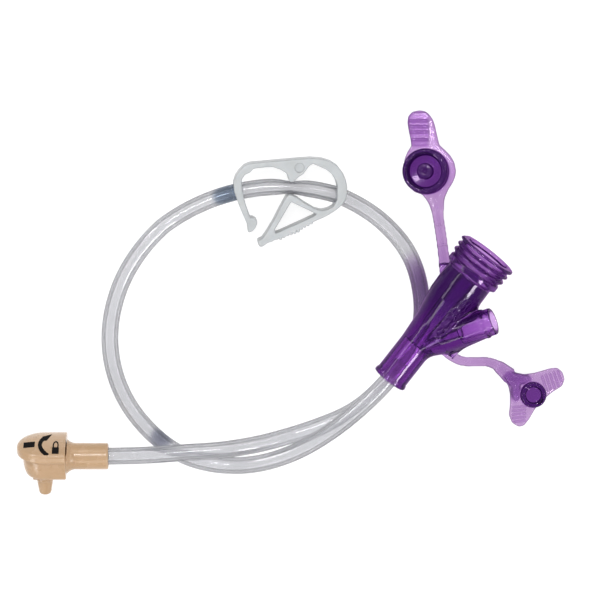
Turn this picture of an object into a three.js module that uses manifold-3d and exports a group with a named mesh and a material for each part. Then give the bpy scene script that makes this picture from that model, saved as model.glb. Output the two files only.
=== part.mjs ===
// Enteral feeding extension set, open and lying flat: a right-angle locking
// connector, one length of clear tubing laid in a loop with a one-piece pinch
// clamp on it, and a two-port Y adapter whose two tethered caps lie beside it.
// Millimetres, +Z up, z = 0 is the surface the set rests on. The connector is
// at -X, the Y adapter at +X and the clamp at +Y, across the top of the loop.
import * as THREE from "three";
import { mergeVertices } from "three/addons/utils/BufferGeometryUtils.js";
import Module from "manifold-3d";

const wasm = await Module();
wasm.setup();

const DEG = Math.PI / 180;
const ORIGIN_SHIFT = [0.055, -0.134, -0.006]; // puts the box's bottom centre at the origin
const SHEET_THICKNESS = 1.3;                  // cap straps and cap bases
const Y_SOCKET = [21.39, -16.74, 7.9];        // centre of the Y adapter's tube socket mouth

const group = new THREE.Group();
group.position.set(...ORIGIN_SHIFT);

// ---- materials ----------------------------------------------------------
const FINISHES = {
  tube: { color: 0xdfe4e8, roughness: 0.18 },
  tan: { color: 0xcfa27c, roughness: 0.35 },
  white: { color: 0xe9ebec, roughness: 0.4 },
  purple: { color: 0x5b2a86, roughness: 0.22 },
  lilac: { color: 0x8a4fae, roughness: 0.22 },
};

function addMesh(name, geometry, finish, parent = group) {
  const material = new THREE.MeshStandardMaterial({ ...FINISHES[finish], metalness: 0 });
  const mesh = new THREE.Mesh(geometry, material);
  mesh.name = name;
  parent.add(mesh);
}

function addGroup(position) {
  const part = new THREE.Group();
  part.position.set(...position);
  group.add(part);
  return part;
}

// ---- shapes and solids --------------------------------------------------
const vectors = (points) => points.map(([x, y]) => new THREE.Vector2(x, y));

function extrude(outline, depth) {
  const options = { depth, bevelEnabled: false, steps: 1 };
  return new THREE.ExtrudeGeometry(new THREE.Shape(vectors(outline)), options);
}

const prism = (outline, bottom, top) => extrude(outline, top - bottom).translate(0, 0, bottom);

// A turned form about +Z from [radius, height] pairs.
const turned = (profile, segments) =>
  new THREE.LatheGeometry(vectors(profile), segments).rotateX(Math.PI / 2);

function solid(source, matrix) {
  let geometry = source.clone();
  geometry.deleteAttribute("normal");
  geometry.deleteAttribute("uv");
  if (matrix) geometry.applyMatrix4(matrix);
  geometry = mergeVertices(geometry, 1e-4);
  return new wasm.Manifold(new wasm.Mesh({
    numProp: 3,
    vertProperties: new Float32Array(geometry.attributes.position.array),
    triVerts: new Uint32Array(geometry.index.array),
  }));
}

const box = (size, centre) =>
  solid(new THREE.BoxGeometry(...size), new THREE.Matrix4().makeTranslation(...centre));

const turnedSolid = (profile, segments, matrix) => solid(turned(profile, segments), matrix);

// A plain cylinder along +Z.
const rod = (radius, bottom, top, segments, matrix) =>
  turnedSolid([[0, bottom], [radius, bottom], [radius, top], [0, top]], segments, matrix);

function geometryOf(manifold) {
  const { vertProperties, triVerts } = manifold.getMesh();
  const geometry = new THREE.BufferGeometry();
  const positions = new THREE.BufferAttribute(new Float32Array(vertProperties), 3);
  geometry.setAttribute("position", positions);
  geometry.setIndex(new THREE.BufferAttribute(new Uint32Array(triVerts), 1));
  geometry.computeVertexNormals();
  return geometry;
}

// Turns local X, Y, Z onto +Y, +Z, +X.
function alongX(x, y, z) {
  const [axisX, axisY, axisZ] = [[1, 0, 0], [0, 1, 0], [0, 0, 1]].map(
    (axis) => new THREE.Vector3(...axis));
  return new THREE.Matrix4().makeBasis(axisY, axisZ, axisX).setPosition(x, y, z);
}

// Turns +Z onto the direction given by its plan angle and its rise above level.
function aim(origin, planDegrees, riseDegrees) {
  const plan = planDegrees * DEG;
  const rise = riseDegrees * DEG;
  const forward = new THREE.Vector3(
    Math.cos(plan) * Math.cos(rise), Math.sin(plan) * Math.cos(rise), Math.sin(rise));
  const side = new THREE.Vector3(-Math.sin(plan), Math.cos(plan), 0);
  const up = new THREE.Vector3().crossVectors(forward, side);
  return new THREE.Matrix4().makeBasis(side, up, forward).setPosition(...origin);
}

// ---- tube path ----------------------------------------------------------
const ARC_CENTRE = [-2.37, -17.6];      // centre of the arc the clamp slides along
const ARC_RADIUS = 43.2;
const ARC_Z = 4.35;                     // tube axis height where the clamp holds it up
const ARC_START = 73, ARC_END = 127, ARC_STEP = 3; // degrees

function arcPoint(degrees) {
  const angle = degrees * DEG;
  const x = ARC_CENTRE[0] + ARC_RADIUS * Math.cos(angle);
  const y = ARC_CENTRE[1] + ARC_RADIUS * Math.sin(angle);
  return [x, y, ARC_Z];
}

// Points on the tube axis, [x, y, z], from the lock connector to the clamp's arc.
const LOCK_TO_ARC = [
  [-43.29, -33.69, 5.2], [-40.2, -33.69, 5.2], [-36.5, -33.62, 5.32], [-31.18, -33.44, 5.75],
  [-26.9, -33.12, 5.9], [-22.65, -32.8, 5.92], [-19.37, -32.65, 5.92], [-16.34, -32.47, 5.9],
  [-13.47, -32.12, 5.75], [-10.81, -31.68, 5.2], [-8.28, -31.24, 4.3], [-5.88, -30.87, 3.35],
  [-3.58, -30.14, 2.5], [-1.31, -29.6, 2.0], [0.89, -28.95, 1.9], [3.05, -28.27, 1.9],
  [5.22, -27.5, 1.9], [7.32, -26.7, 1.9], [9.6, -25.85, 1.9], [11.87, -24.88, 1.9],
  [14.07, -23.6, 1.9], [16.14, -22.1, 1.9], [18.43, -20.02, 1.9], [21.18, -17.1, 1.9],
  [24.25, -13.3, 1.9], [27.0, -9.0, 1.9], [28.6, -4.84, 1.9], [28.88, -0.88, 1.9],
  [28.6, 1.98, 2.0], [28.04, 5.2, 2.25], [27.16, 8.29, 2.65], [25.84, 11.07, 3.1],
  [24.17, 13.62, 3.55], [22.14, 15.88, 3.95], [19.99, 17.97, 4.2], [17.68, 19.82, 4.32],
  [15.19, 21.36, 4.35], [12.62, 22.68, 4.35],
];
// The same, from the arc to just inside the Y adapter's socket.
const ARC_TO_Y = [
  [-31.32, 14.06, 4.25], [-33.14, 12.01, 4.0], [-34.73, 9.72, 3.6], [-36.24, 7.3, 3.1],
  [-37.56, 4.75, 2.65], [-38.58, 2.02, 2.25], [-39.4, -0.81, 2.0], [-39.98, -3.74, 1.9],
  [-40.25, -6.75, 1.9], [-40.2, -9.79, 1.9], [-39.8, -12.8, 1.9], [-39.1, -15.8, 1.9],
  [-38.03, -18.72, 1.9], [-36.71, -21.54, 1.9], [-35.01, -24.13, 1.9], [-33.08, -26.55, 1.9],
  [-30.9, -28.84, 1.9], [-28.5, -30.95, 1.9], [-25.91, -32.75, 1.9], [-23.31, -33.99, 1.9],
  [-20.43, -34.95, 1.9], [-17.46, -35.6, 1.9], [-14.51, -35.92, 1.9], [-11.54, -35.95, 2.1],
  [-8.68, -35.7, 2.7], [-5.88, -35.16, 3.5], [-3.2, -34.38, 4.4], [-0.65, -33.44, 5.15],
  [1.79, -32.38, 5.6], [4.08, -31.13, 5.85], [6.3, -29.83, 6.0], [8.35, -28.42, 6.1],
  [10.37, -26.98, 6.25], [12.38, -25.45, 6.5], [14.22, -23.85, 6.8], [16.11, -22.14, 7.08],
  [17.96, -20.4, 7.35], [19.85, -18.5, 7.62], Y_SOCKET, [24.25, -13.05, 8.68],
];

function smoothCurve(points) {
  return new THREE.CatmullRomCurve3(points, false, "centripetal");
}

function tubePath() {
  const stations = [...LOCK_TO_ARC];
  for (let angle = ARC_START; angle <= ARC_END; angle += ARC_STEP) stations.push(arcPoint(angle));
  stations.push(...ARC_TO_Y);
  const path = smoothCurve(stations.map((station) => new THREE.Vector3(...station)));
  path.arcLengthDivisions = 2400;
  return path;
}
const PATH = tubePath();
const PATH_LENGTH = PATH.getLength();

// Arc length of the path point nearest to a plan point, searched between two shares of the path.
function lengthNear([x, y], from, to) {
  const samples = 3000;
  let nearest = Infinity;
  let length = 0;
  for (let i = 0; i <= samples; i++) {
    const share = from + (to - from) * (i / samples);
    const point = PATH.getPointAt(share);
    const distance = Math.hypot(point.x - x, point.y - y);
    if (distance < nearest) {
      nearest = distance;
      length = share * PATH_LENGTH;
    }
  }
  return length;
}

// ---- tube ---------------------------------------------------------------
const TUBE_RADIUS = 1.86, TUBE_SIDES = 14;
const BORE_RADIUS = 1.1, BORE_SIDES = 8;
const FLEX_POINT = [-16.89, -32.52];    // where the lead bends
const FLEX_GAP = 0.8;                   // break in the tube there
const PINCH_START = 76.5, PINCH_END = 113.5; // degrees on the arc
const PINCH_GAP = 0.15;                 // set back of each piece from a pinch zone end
const JAWS = {
  angle: 87.1,                          // where they stand on the arc, degrees
  squeeze: 0.48,                        // share of the tube's width pressed out
  reach: 2.4,                           // how far along the tube the press fades
  shift: 0.1,                           // how far the tube moves toward the arc centre
  bulge: 0.3,                           // share of the squeeze that adds to the height
};

function ring(radius, sides) {
  return Array.from({ length: sides }, (_, i) => {
    const angle = (2 * Math.PI * (i + 0.5)) / sides;
    return [radius * Math.cos(angle), radius * Math.sin(angle)];
  });
}

function tubePiece(start, end, step) {
  const steps = Math.max(4, Math.ceil((end - start) / step));
  const points = [];
  for (let i = 0; i <= steps; i++) {
    points.push(PATH.getPointAt((start + ((end - start) * i) / steps) / PATH_LENGTH));
  }
  const section = new THREE.Shape(vectors(ring(TUBE_RADIUS, TUBE_SIDES)));
  section.holes.push(new THREE.Path(vectors(ring(BORE_RADIUS, BORE_SIDES).reverse())));
  const options = { steps, extrudePath: smoothCurve(points), bevelEnabled: false };
  return new THREE.ExtrudeGeometry(section, options);
}

// Presses the tube a little flat where the open jaws hold it.
function pressByJaws(geometry) {
  const vertices = geometry.attributes.position;
  for (let i = 0; i < vertices.count; i++) {
    const x = vertices.getX(i) - ARC_CENTRE[0];
    const y = vertices.getY(i) - ARC_CENTRE[1];
    const radius = Math.hypot(x, y);
    const fromJaws = (Math.atan2(y, x) - JAWS.angle * DEG) * ARC_RADIUS;
    const press = Math.exp(-((fromJaws / JAWS.reach) ** 2));
    const squeeze = JAWS.squeeze * press;
    const pressed = ARC_RADIUS - JAWS.shift * press + (radius - ARC_RADIUS) * (1 - squeeze);
    vertices.setXYZ(i,
      ARC_CENTRE[0] + (x / radius) * pressed,
      ARC_CENTRE[1] + (y / radius) * pressed,
      ARC_Z + (vertices.getZ(i) - ARC_Z) * (1 + JAWS.bulge * squeeze));
  }
  geometry.computeVertexNormals();
  return geometry;
}

function buildTube() {
  const flex = lengthNear(FLEX_POINT, 0, 0.2);
  const pinchStart = lengthNear(arcPoint(PINCH_START), 0.3, 0.6);
  const pinchEnd = lengthNear(arcPoint(PINCH_END), 0.35, 0.7);
  addMesh("feed_tube_lead", tubePiece(0, flex - FLEX_GAP / 2, 3.2), "tube");
  addMesh("feed_tube_coil", tubePiece(flex + FLEX_GAP / 2, pinchStart - PINCH_GAP, 3.2), "tube");
  addMesh("feed_tube_tail", tubePiece(pinchEnd + PINCH_GAP, PATH_LENGTH, 3.3), "tube");
  const pinchZone = tubePiece(pinchStart + PINCH_GAP, pinchEnd - PINCH_GAP, 1.45);
  addMesh("feed_tube_pinch_zone", pressByJaws(pinchZone), "tube");
}

// ---- lock connector -----------------------------------------------------
// Local frame: head centred on Z with its dome up, barrel along +X, stem down.
const HEAD_PLAN = [-54.4, -32.78];
const HEAD_RADIUS = 6.0;
const HEAD_END = 4.8;                   // head centre to its flat end
const HEAD_TILT = 65.2;                 // the head leans back on its rim and its stem
const HEAD_LIFT = 0.2;
const LOCK_GAP = 0.3;                   // between cover, body and stem
const BARREL_RADIUS = 2.9, BARREL_END = 14.08, BARREL_Z = -1.0;
const BODY_DEPTH = 5.0;
const STEM_END = 10.05, STEM_TOP = -BODY_DEPTH - LOCK_GAP;

// Lock profiles, [radius, height].
const COVER_PROFILE = [
  [0, 0], [HEAD_RADIUS - 0.35, 0], [HEAD_RADIUS, 0.3], [HEAD_RADIUS, 1.5], [5.75, 1.95],
  [5.2, 2.3], [4.2, 2.66], [2.8, 2.98], [1.4, 3.15], [0, 3.2],
];
const BODY_PROFILE = [
  [0, -BODY_DEPTH], [3.55, -BODY_DEPTH], [3.95, -4.75], [4.25, -4.25], [4.5, -3.4],
  [4.6, -2.6], [4.7, -LOCK_GAP], [0, -LOCK_GAP],
];
const BARREL_PROFILE = [
  [0, 1.5], [3.55, 1.5], [3.55, HEAD_END + 0.35], [3.2, HEAD_END + 0.6],
  [BARREL_RADIUS, HEAD_END + 1.5], [BARREL_RADIUS, BARREL_END - 0.25],
  [BARREL_RADIUS - 0.2, BARREL_END], [0, BARREL_END],
];
const STEM_PROFILE = [
  [0, -STEM_END], [0.95, -STEM_END], [1.25, -STEM_END + 0.2], [1.38, -STEM_END + 0.55],
  [1.8, STEM_TOP - 1.3], [2.02, STEM_TOP - 1.15], [2.02, STEM_TOP], [0, STEM_TOP],
];

// A turned form that runs on along +X, with the same section, to the head's flat end.
function headForm(profile) {
  const mirrored = profile.slice(1, -1).reverse().map(([radius, z]) => [-radius, z]);
  const run = solid(extrude([...profile, ...mirrored], HEAD_END), alongX(0, 0, 0));
  return turnedSolid(profile, 32).add(run);
}

// A low dome over the whole head, cut off at the flat end.
function lockCover() {
  return headForm(COVER_PROFILE).subtract(box([10, 20, 20], [HEAD_END + 5, 0, 0]));
}

// The narrower lower half of the head, with the tube barrel.
function lockBody() {
  const barrelAxis = alongX(0, 0, BARREL_Z);
  return headForm(BODY_PROFILE)
    .add(turnedSolid(BARREL_PROFILE, 28, barrelAxis))
    .subtract(box([20, 20, 10], [HEAD_END + LOCK_GAP - 10, 0, 5 - LOCK_GAP])) // room for the cover
    .subtract(rod(2.2, 9.0, BARREL_END + 1, 20, barrelAxis)) // tube socket
    .subtract(rod(0.95, -0.9, 9.5, 12, barrelAxis))
    .subtract(rod(0.85, -BODY_DEPTH - 1, BARREL_Z, 12));
}

// Tapered nose with a small key at its root.
function lockStem() {
  return turnedSolid(STEM_PROFILE, 24)
    .add(box([1.1, 1.3, 1.2], [-2.0, 0, STEM_TOP - 0.6]))
    .subtract(rod(0.75, -STEM_END - 1, 0, 12));
}

function buildLock() {
  const lock = addGroup([...HEAD_PLAN, HEAD_RADIUS * Math.sin(HEAD_TILT * DEG) + HEAD_LIFT]);
  lock.rotation.x = -HEAD_TILT * DEG;
  addMesh("lock_cover", geometryOf(lockCover()), "tan", lock);
  addMesh("lock_body", geometryOf(lockBody()), "tan", lock);
  addMesh("lock_stem", geometryOf(lockStem()), "tan", lock);
}

// ---- pinch clamp --------------------------------------------------------
const CLAMP_CENTRE = [-0.525, 25.87, 5.0];
const CLAMP_TILT_X = 5, CLAMP_TILT_Y = 2; // degrees
const CLAMP_DEPTH = 8.0;
// Oval tube holes through the clamp's two ends.
const SLOT = { halfWidth: 3.3, halfHeight: 2.85, halfLength: 2.4, sides: 20 };
const POST_SLOT = [-11.6, -1.5, -0.4];
const FRAME_SLOT = [11.7, -1.8, -0.3];

// Clamp outlines, [x, y] from the clamp centre. The post is the -X end.
const POST = [
  [-7.98, 5.17], [-8.94, 5.01], [-9.95, 4.58], [-11.09, 3.45], [-11.97, 2.19], [-12.35, 0.67],
  [-12.22, -1.1], [-11.72, -2.61], [-10.96, -4.63], [-9.32, -8.42], [-9.19, -9.94],
  [-8.99, -10.19], [-8.13, -9.81], [-7.42, -8.93], [-7.1, -7.97], [-7.25, -7.29],
  [-8.13, -6.78], [-8.56, -6.91], [-8.94, -6.02], [-9.7, -3.88], [-10.08, -2.36],
  [-10.46, -0.59], [-10.58, 1.43], [-9.82, 2.56], [-8.81, 2.99], [-8.06, 3.75],
];
// The frame is the +Y side and the +X end.
const FRAME = [
  [-7.68, 5.19], [-7.17, 5.22], [-2.12, 5.67], [1.67, 6.02], [4.45, 6.23], [6.97, 6.07],
  [8.99, 5.47], [10.51, 4.46], [11.64, 2.94], [12.27, 1.43], [12.58, -0.09], [12.53, -1.86],
  [12.15, -3.12], [11.39, -4.13], [10.25, -5.14], [8.74, -6.15], [7.48, -6.81], [7.07, -5.28],
  [8.3, -5.0], [9.5, -4.4], [10.35, -2.9], [10.42, 0.16], [10.0, 1.43], [9.24, 2.69],
  [7.98, 3.7], [6.21, 4.46], [5.08, 4.96], [4.19, 4.46], [2.93, 2.69], [1.92, 2.06],
  [1.29, 1.43], [0.86, 0.95], [0.03, 0.95], [-0.3, 1.43], [-0.56, 2.44], [-0.86, 2.94],
  [-2.12, 3.7], [-3.64, 4.21], [-5.15, 4.21], [-7.73, 3.9],
];
// The lever is the -Y side, stepped along its outer edge.
const LEVER = [
  [6.75, -5.22], [7.17, -6.96], [6.97, -7.03], [4.95, -7.92], [2.93, -8.93], [2.17, -9.43],
  [1.97, -9.84], [1.36, -9.74], [1.06, -10.27], [0.45, -10.16], [0.15, -10.67], [-0.5, -10.54],
  [-0.81, -11.05], [-1.46, -10.95], [-1.77, -11.45], [-2.42, -11.35], [-2.73, -11.81],
  [-3.43, -11.76], [-3.84, -12.21], [-4.65, -12.34], [-6.04, -13.27], [-6.67, -13.22],
  [-7.05, -12.34], [-6.97, -11.83], [-6.04, -11.45], [-5.15, -10.19], [-3.64, -7.66],
  [-2.12, -4.63], [-0.81, -2.28], [-0.23, -1.75], [0.45, -1.85], [0.91, -2.11], [1.67, -2.46],
  [2.93, -3.37], [5.46, -4.89],
];
const LEVER_HOLE = [
  [0.15, -3.62], [5.71, -6.1], [5.2, -6.45], [-2.12, -9.68], [-3.01, -10.06], [-3.13, -9.43],
];

function tubeSlot(centre) {
  const oval = Array.from({ length: SLOT.sides }, (_, i) => {
    const angle = (2 * Math.PI * i) / SLOT.sides;
    return [SLOT.halfWidth * Math.cos(angle), SLOT.halfHeight * Math.sin(angle)];
  });
  return solid(prism(oval, -SLOT.halfLength, SLOT.halfLength), alongX(...centre));
}

function buildClamp() {
  const clamp = addGroup(CLAMP_CENTRE);
  clamp.rotation.order = "YXZ";
  clamp.rotation.y = CLAMP_TILT_Y * DEG;
  clamp.rotation.x = CLAMP_TILT_X * DEG;
  const half = CLAMP_DEPTH / 2;
  const addPart = (name, outline, cut) => {
    const part = solid(prism(outline, -half, half)).subtract(cut);
    addMesh(name, geometryOf(part), "white", clamp);
  };
  addPart("clamp_post", POST, tubeSlot(POST_SLOT));
  addPart("clamp_frame", FRAME, tubeSlot(FRAME_SLOT));
  addPart("clamp_lever", LEVER, solid(prism(LEVER_HOLE, -half - 1, half + 1)));
}

// ---- cap straps ---------------------------------------------------------
// Centre lines, [x, y, z], from the Y body to the cap.
const FEED_STRAP = {
  rootWidth: 2.7,
  width: 2.4,
  root: [[35.1, 3.4, 9.9], [33.9, 6.2, 9.5], [33.41, 9.16, 8.7]],
  lower: [[33.36, 9.76, 8.3], [33.2, 11.66, 7.05], [32.88, 14.44, 5.2]],
  upper: [[32.8, 15.04, 4.8], [32.45, 17.9, 3.0], [32.21, 19.94, 1.8]],
};
const MED_STRAP = {
  rootWidth: 2.3,
  width: 2.05,
  root: [[31.9, -8.3, 8.3], [33.2, -9.95, 8.0], [34.8, -11.37, 7.35]],
  lower: [[35.28, -11.73, 7.05], [37.4, -12.75, 5.95], [40.24, -12.96, 4.55]],
  upper: [[40.84, -12.92, 4.2], [43.0, -12.95, 2.8], [45.22, -13.74, 1.25]],
};
const ROOT_THICKNESS = 1.6;

// Height of a centre line at its point nearest to (x, y) in plan.
function lineHeight(line, x, y) {
  let nearest = Infinity;
  let height = 0;
  for (let i = 0; i < line.length - 1; i++) {
    const [startX, startY, startZ] = line[i];
    const runX = line[i + 1][0] - startX;
    const runY = line[i + 1][1] - startY;
    const along = ((x - startX) * runX + (y - startY) * runY) / (runX * runX + runY * runY);
    const share = Math.min(1, Math.max(0, along));
    const distance = Math.hypot(x - startX - share * runX, y - startY - share * runY);
    if (distance < nearest - 1e-9) {
      nearest = distance;
      height = startZ + share * (line[i + 1][2] - startZ);
    }
  }
  return height;
}

// A strap stretch: its plan outline along a centre line, its height following the slope.
function strapGeometry(line, width, thickness) {
  const left = [], right = [];
  line.forEach(([x, y], i) => {
    const before = line[Math.max(0, i - 1)];
    const after = line[Math.min(line.length - 1, i + 1)];
    const runX = after[0] - before[0];
    const runY = after[1] - before[1];
    const run = Math.hypot(runX, runY);
    const offsetX = (-runY / run) * (width / 2);
    const offsetY = (runX / run) * (width / 2);
    left.push([x + offsetX, y + offsetY]);
    right.push([x - offsetX, y - offsetY]);
  });
  const geometry = prism([...right, ...left.reverse()], -thickness / 2, thickness / 2);
  const vertices = geometry.attributes.position;
  for (let i = 0; i < vertices.count; i++) {
    const rise = lineHeight(line, vertices.getX(i), vertices.getY(i));
    vertices.setZ(i, vertices.getZ(i) + rise);
  }
  return geometry;
}

const strapRoot = ({ root, rootWidth }) => solid(strapGeometry(root, rootWidth, ROOT_THICKNESS));

function buildStrap(prefix, strap) {
  for (const stretch of ["lower", "upper"]) {
    const geometry = strapGeometry(strap[stretch], strap.width, SHEET_THICKNESS);
    addMesh(`${prefix}_strap_${stretch}`, geometry, "lilac");
  }
}

// ---- Y adapter ----------------------------------------------------------
const MAIN_AXIS = aim(Y_SOCKET, 52.18, 9.5);
const BRANCH_AXIS = aim([28.43, -9.24, 9.75], 19, 17); // leaves the main axis at this point
const MOUTH_RADIUS = 5.05;              // inside the feeding port

// Y adapter profiles, [radius, distance along the axis].
const MAIN_PROFILE = [
  [0, 0], [3.96, 0], [3.96, 0.9], [3.72, 1.15], [3.72, 9.6], [4.15, 15.3], [5.4, 22.0],
  [5.55, 25.4], [5.4, 29.0], [6.35, 29.5], [6.35, 30.9], [0, 30.9],
];
const MAIN_BORE = [[0, 9.5], [1.3, 9.5], [1.3, 15.0], [1.45, 15.1], [1.8, 32], [0, 32]];
const MOUTH_GROOVE = [
  [2.6, 28.6], [MOUTH_RADIUS, 28.6], [MOUTH_RADIUS, 32], [2.6, 32], [2.6, 28.6],
];
const BRANCH_PROFILE = [
  [0, 0], [2.8, 0], [3.55, 5], [3.45, 10.5], [3.02, 16.2], [3.02, 17.0], [2.85, 17.2], [0, 17.2],
];
const BRANCH_MOUTH = [[0, 9.2], [1.9, 9.2], [2.15, 18], [0, 18]];
const COLLAR_PROFILE = [
  [MOUTH_RADIUS, 31.2], [6.1, 31.2], [6.1, 31.6], [6.62, 31.85], [6.62, 32.3], [6.05, 32.6],
  [6.05, 33.0], [6.7, 33.3], [6.7, 33.7], [6.15, 34.0], [6.15, 34.45], [6.85, 34.75],
  [6.85, 35.2], [6.65, 35.45], [5.2, 35.45], [MOUTH_RADIUS, 35.2], [MOUTH_RADIUS, 31.2],
];

function buildYAdapter() {
  const body = turnedSolid(MAIN_PROFILE, 30, MAIN_AXIS)
    .add(turnedSolid(BRANCH_PROFILE, 26, BRANCH_AXIS))
    .add(strapRoot(FEED_STRAP))
    .add(strapRoot(MED_STRAP))
    .subtract(rod(2.15, -1, 10.0, 20, MAIN_AXIS)) // tube socket
    .subtract(turnedSolid(MAIN_BORE, 16, MAIN_AXIS))
    .subtract(turnedSolid(MOUTH_GROOVE, 28, MAIN_AXIS))
    .subtract(turnedSolid(BRANCH_MOUTH, 20, BRANCH_AXIS))
    .subtract(rod(0.9, 0.6, 9.8, 12, BRANCH_AXIS));
  addMesh("y_body", geometryOf(body), "purple");
  // Threaded mouth of the feeding port, with its lip and two thread ridges.
  const collar = turnedSolid(COLLAR_PROFILE, 32, MAIN_AXIS);
  addMesh("feeding_port_collar", geometryOf(collar), "purple");
}

// ---- feeding-port cap ---------------------------------------------------
const FEED_CAP_CENTRE = [30.41, 29.04, 1.45];
const FEED_CAP_TILT = -7;               // degrees about Y
const RIB_SIZE = [3.6, 0.5, 0.5];
const RIB_X = -2.3, RIB_Z = 0.7;
const RIB_YS = [11.15, 9.9, 8.7, 7];    // from the cap centre

// Cap outline, [x, y] in the set's frame.
const FEED_CAP = [
  [28.21, 42.57], [29.43, 42.35], [30.41, 41.58], [31.18, 40.48], [31.62, 39.16],
  [32.06, 37.18], [32.62, 34.87], [33.72, 33.88], [35.04, 32.56], [35.91, 31.02],
  [36.27, 29.26], [36.13, 27.94], [35.48, 26.4], [34.59, 25.08], [33.83, 23.32], [33.4, 21.6],
  [33.35, 20.7], [30.95, 20.46], [30.75, 21.3], [30.2, 22.22], [28.77, 23.98], [27.11, 24.53],
  [26.02, 25.52], [25.02, 27.06], [24.59, 28.6], [24.59, 29.7], [24.91, 31.9], [25.57, 33.44],
  [26.46, 34.76], [26.23, 36.3], [25.8, 38.28], [25.53, 39.82], [25.68, 41.14], [26.68, 42.24],
];
// Outer wall and centre pin, [radius, height].
const FEED_PLUG_PROFILE = [
  [0, 0.95], [4.95, 0.95], [4.95, 5.6], [4.7, 5.9], [4.2, 5.9], [3.95, 5.6], [3.95, 2.2],
  [1.76, 2.2], [1.76, 5.2], [1.5, 5.5], [0.5, 5.5], [0, 4.9],
];

function buildFeedingCap() {
  const cap = addGroup(FEED_CAP_CENTRE);
  cap.rotation.y = FEED_CAP_TILT * DEG;
  const outline = FEED_CAP.map(([x, y]) => [x - FEED_CAP_CENTRE[0], y - FEED_CAP_CENTRE[1]]);
  let base = solid(prism(outline, -SHEET_THICKNESS / 2, SHEET_THICKNESS / 2));
  for (const y of RIB_YS) base = base.add(box(RIB_SIZE, [RIB_X, y, RIB_Z]));
  addMesh("feeding_cap_base", geometryOf(base), "lilac", cap);
  const plug = turned(FEED_PLUG_PROFILE, 28).translate(-0.55, -0.05, 0);
  addMesh("feeding_cap_plug", plug, "purple", cap);
}

// ---- medication-port cap ------------------------------------------------
const MED_CAP_BOTTOM = 0.25;
const MED_PLUG_CENTRE = [53.23, -20.24, 0];
// Cap outline, [x, y].
const MED_CAP = [
  [45.2, -14.95], [46.1, -15.7], [46.94, -16.86], [47.82, -18.26], [48.23, -20.09],
  [48.23, -22.42], [47.97, -24.73], [48.67, -26.47], [50.13, -27.35], [51.29, -27.06],
  [52.46, -25.61], [53.62, -23.56], [55.05, -21.82], [57.39, -19.8], [59.7, -18.35],
  [60.29, -16.9], [59.85, -15.31], [58.69, -14.3], [57.1, -14.43], [55.36, -14.94],
  [53.62, -15.44], [51.29, -15.73], [49.27, -15.31], [47.82, -14.4], [46.4, -13.35],
];
// Hollow plug, [radius, height].
const MED_PLUG_PROFILE = [
  [0, 1.85], [2.78, 1.85], [2.78, 5.6], [2.55, 5.9], [1.85, 5.9], [1.7, 5.6], [1.7, 2.7], [0, 2.7],
];

function buildMedicationCap() {
  const base = prism(MED_CAP, MED_CAP_BOTTOM, MED_CAP_BOTTOM + SHEET_THICKNESS);
  addMesh("medication_cap_base", base, "lilac");
  const plug = turned(MED_PLUG_PROFILE, 26).translate(...MED_PLUG_CENTRE);
  addMesh("medication_cap_plug", plug, "purple");
}

buildTube();
buildLock();
buildClamp();
buildYAdapter();
buildStrap("feeding", FEED_STRAP);
buildFeedingCap();
buildStrap("medication", MED_STRAP);
buildMedicationCap();

export default group;
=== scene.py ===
# Enteral feeding extension set, coiled flat on a floor just below z = 0, with +Z up.
# The tan lock connector is at -X, the purple Y adapter and its tethered caps are at +X,
# and the white pinch clamp sits on the +Y arc of the tube.
# Shapes are worked out in millimetres in the CAD source's frame ("mm" below), then shifted
# into the row frame in metres.
import bpy
import bmesh
import math
import numpy as np
from contextlib import contextmanager
from mathutils import Matrix, Vector


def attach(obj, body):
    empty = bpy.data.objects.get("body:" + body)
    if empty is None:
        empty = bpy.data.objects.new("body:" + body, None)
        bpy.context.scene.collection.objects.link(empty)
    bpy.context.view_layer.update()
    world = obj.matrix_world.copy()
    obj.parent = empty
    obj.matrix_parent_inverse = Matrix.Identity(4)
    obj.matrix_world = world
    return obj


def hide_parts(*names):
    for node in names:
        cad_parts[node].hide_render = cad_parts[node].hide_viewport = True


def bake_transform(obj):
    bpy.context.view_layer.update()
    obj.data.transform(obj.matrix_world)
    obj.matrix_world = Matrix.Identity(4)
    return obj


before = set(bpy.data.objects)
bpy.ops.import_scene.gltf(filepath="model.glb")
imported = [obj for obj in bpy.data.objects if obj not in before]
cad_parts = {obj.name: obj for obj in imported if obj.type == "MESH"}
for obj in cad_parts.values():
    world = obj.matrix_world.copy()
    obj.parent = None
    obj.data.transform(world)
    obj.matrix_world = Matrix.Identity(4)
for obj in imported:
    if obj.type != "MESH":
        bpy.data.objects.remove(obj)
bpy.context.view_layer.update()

SHIFT = np.array([0.055, -0.134, -0.006])   # mm, from the CAD frame to the row frame


# ---------------------------------------------------------------- units and small maths
def to_m(point):
    return (np.asarray(point, float) + SHIFT) / 1000.0


def vec_m(point):
    return Vector([float(v) for v in to_m(point)])


def unit(vector):
    vector = np.asarray(vector, float)
    return vector / np.linalg.norm(vector)


def smooth01(share):
    share = np.clip(share, 0, 1)
    return share * share * (3 - 2 * share)


def ease(value, start, end):
    """Rises smoothly from 0 at start to 1 at end."""
    return smooth01((value - start) / (end - start))


def smin(first, second, blend):
    """Union of two fields with a fillet of size blend."""
    share = np.clip(0.5 + 0.5 * (second - first) / blend, 0, 1)
    return second + (first - second) * share - blend * share * (1 - share)


def smax(first, second, blend):
    """Intersection of two fields with a rounded edge of size blend."""
    return -smin(-first, -second, blend)


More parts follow.
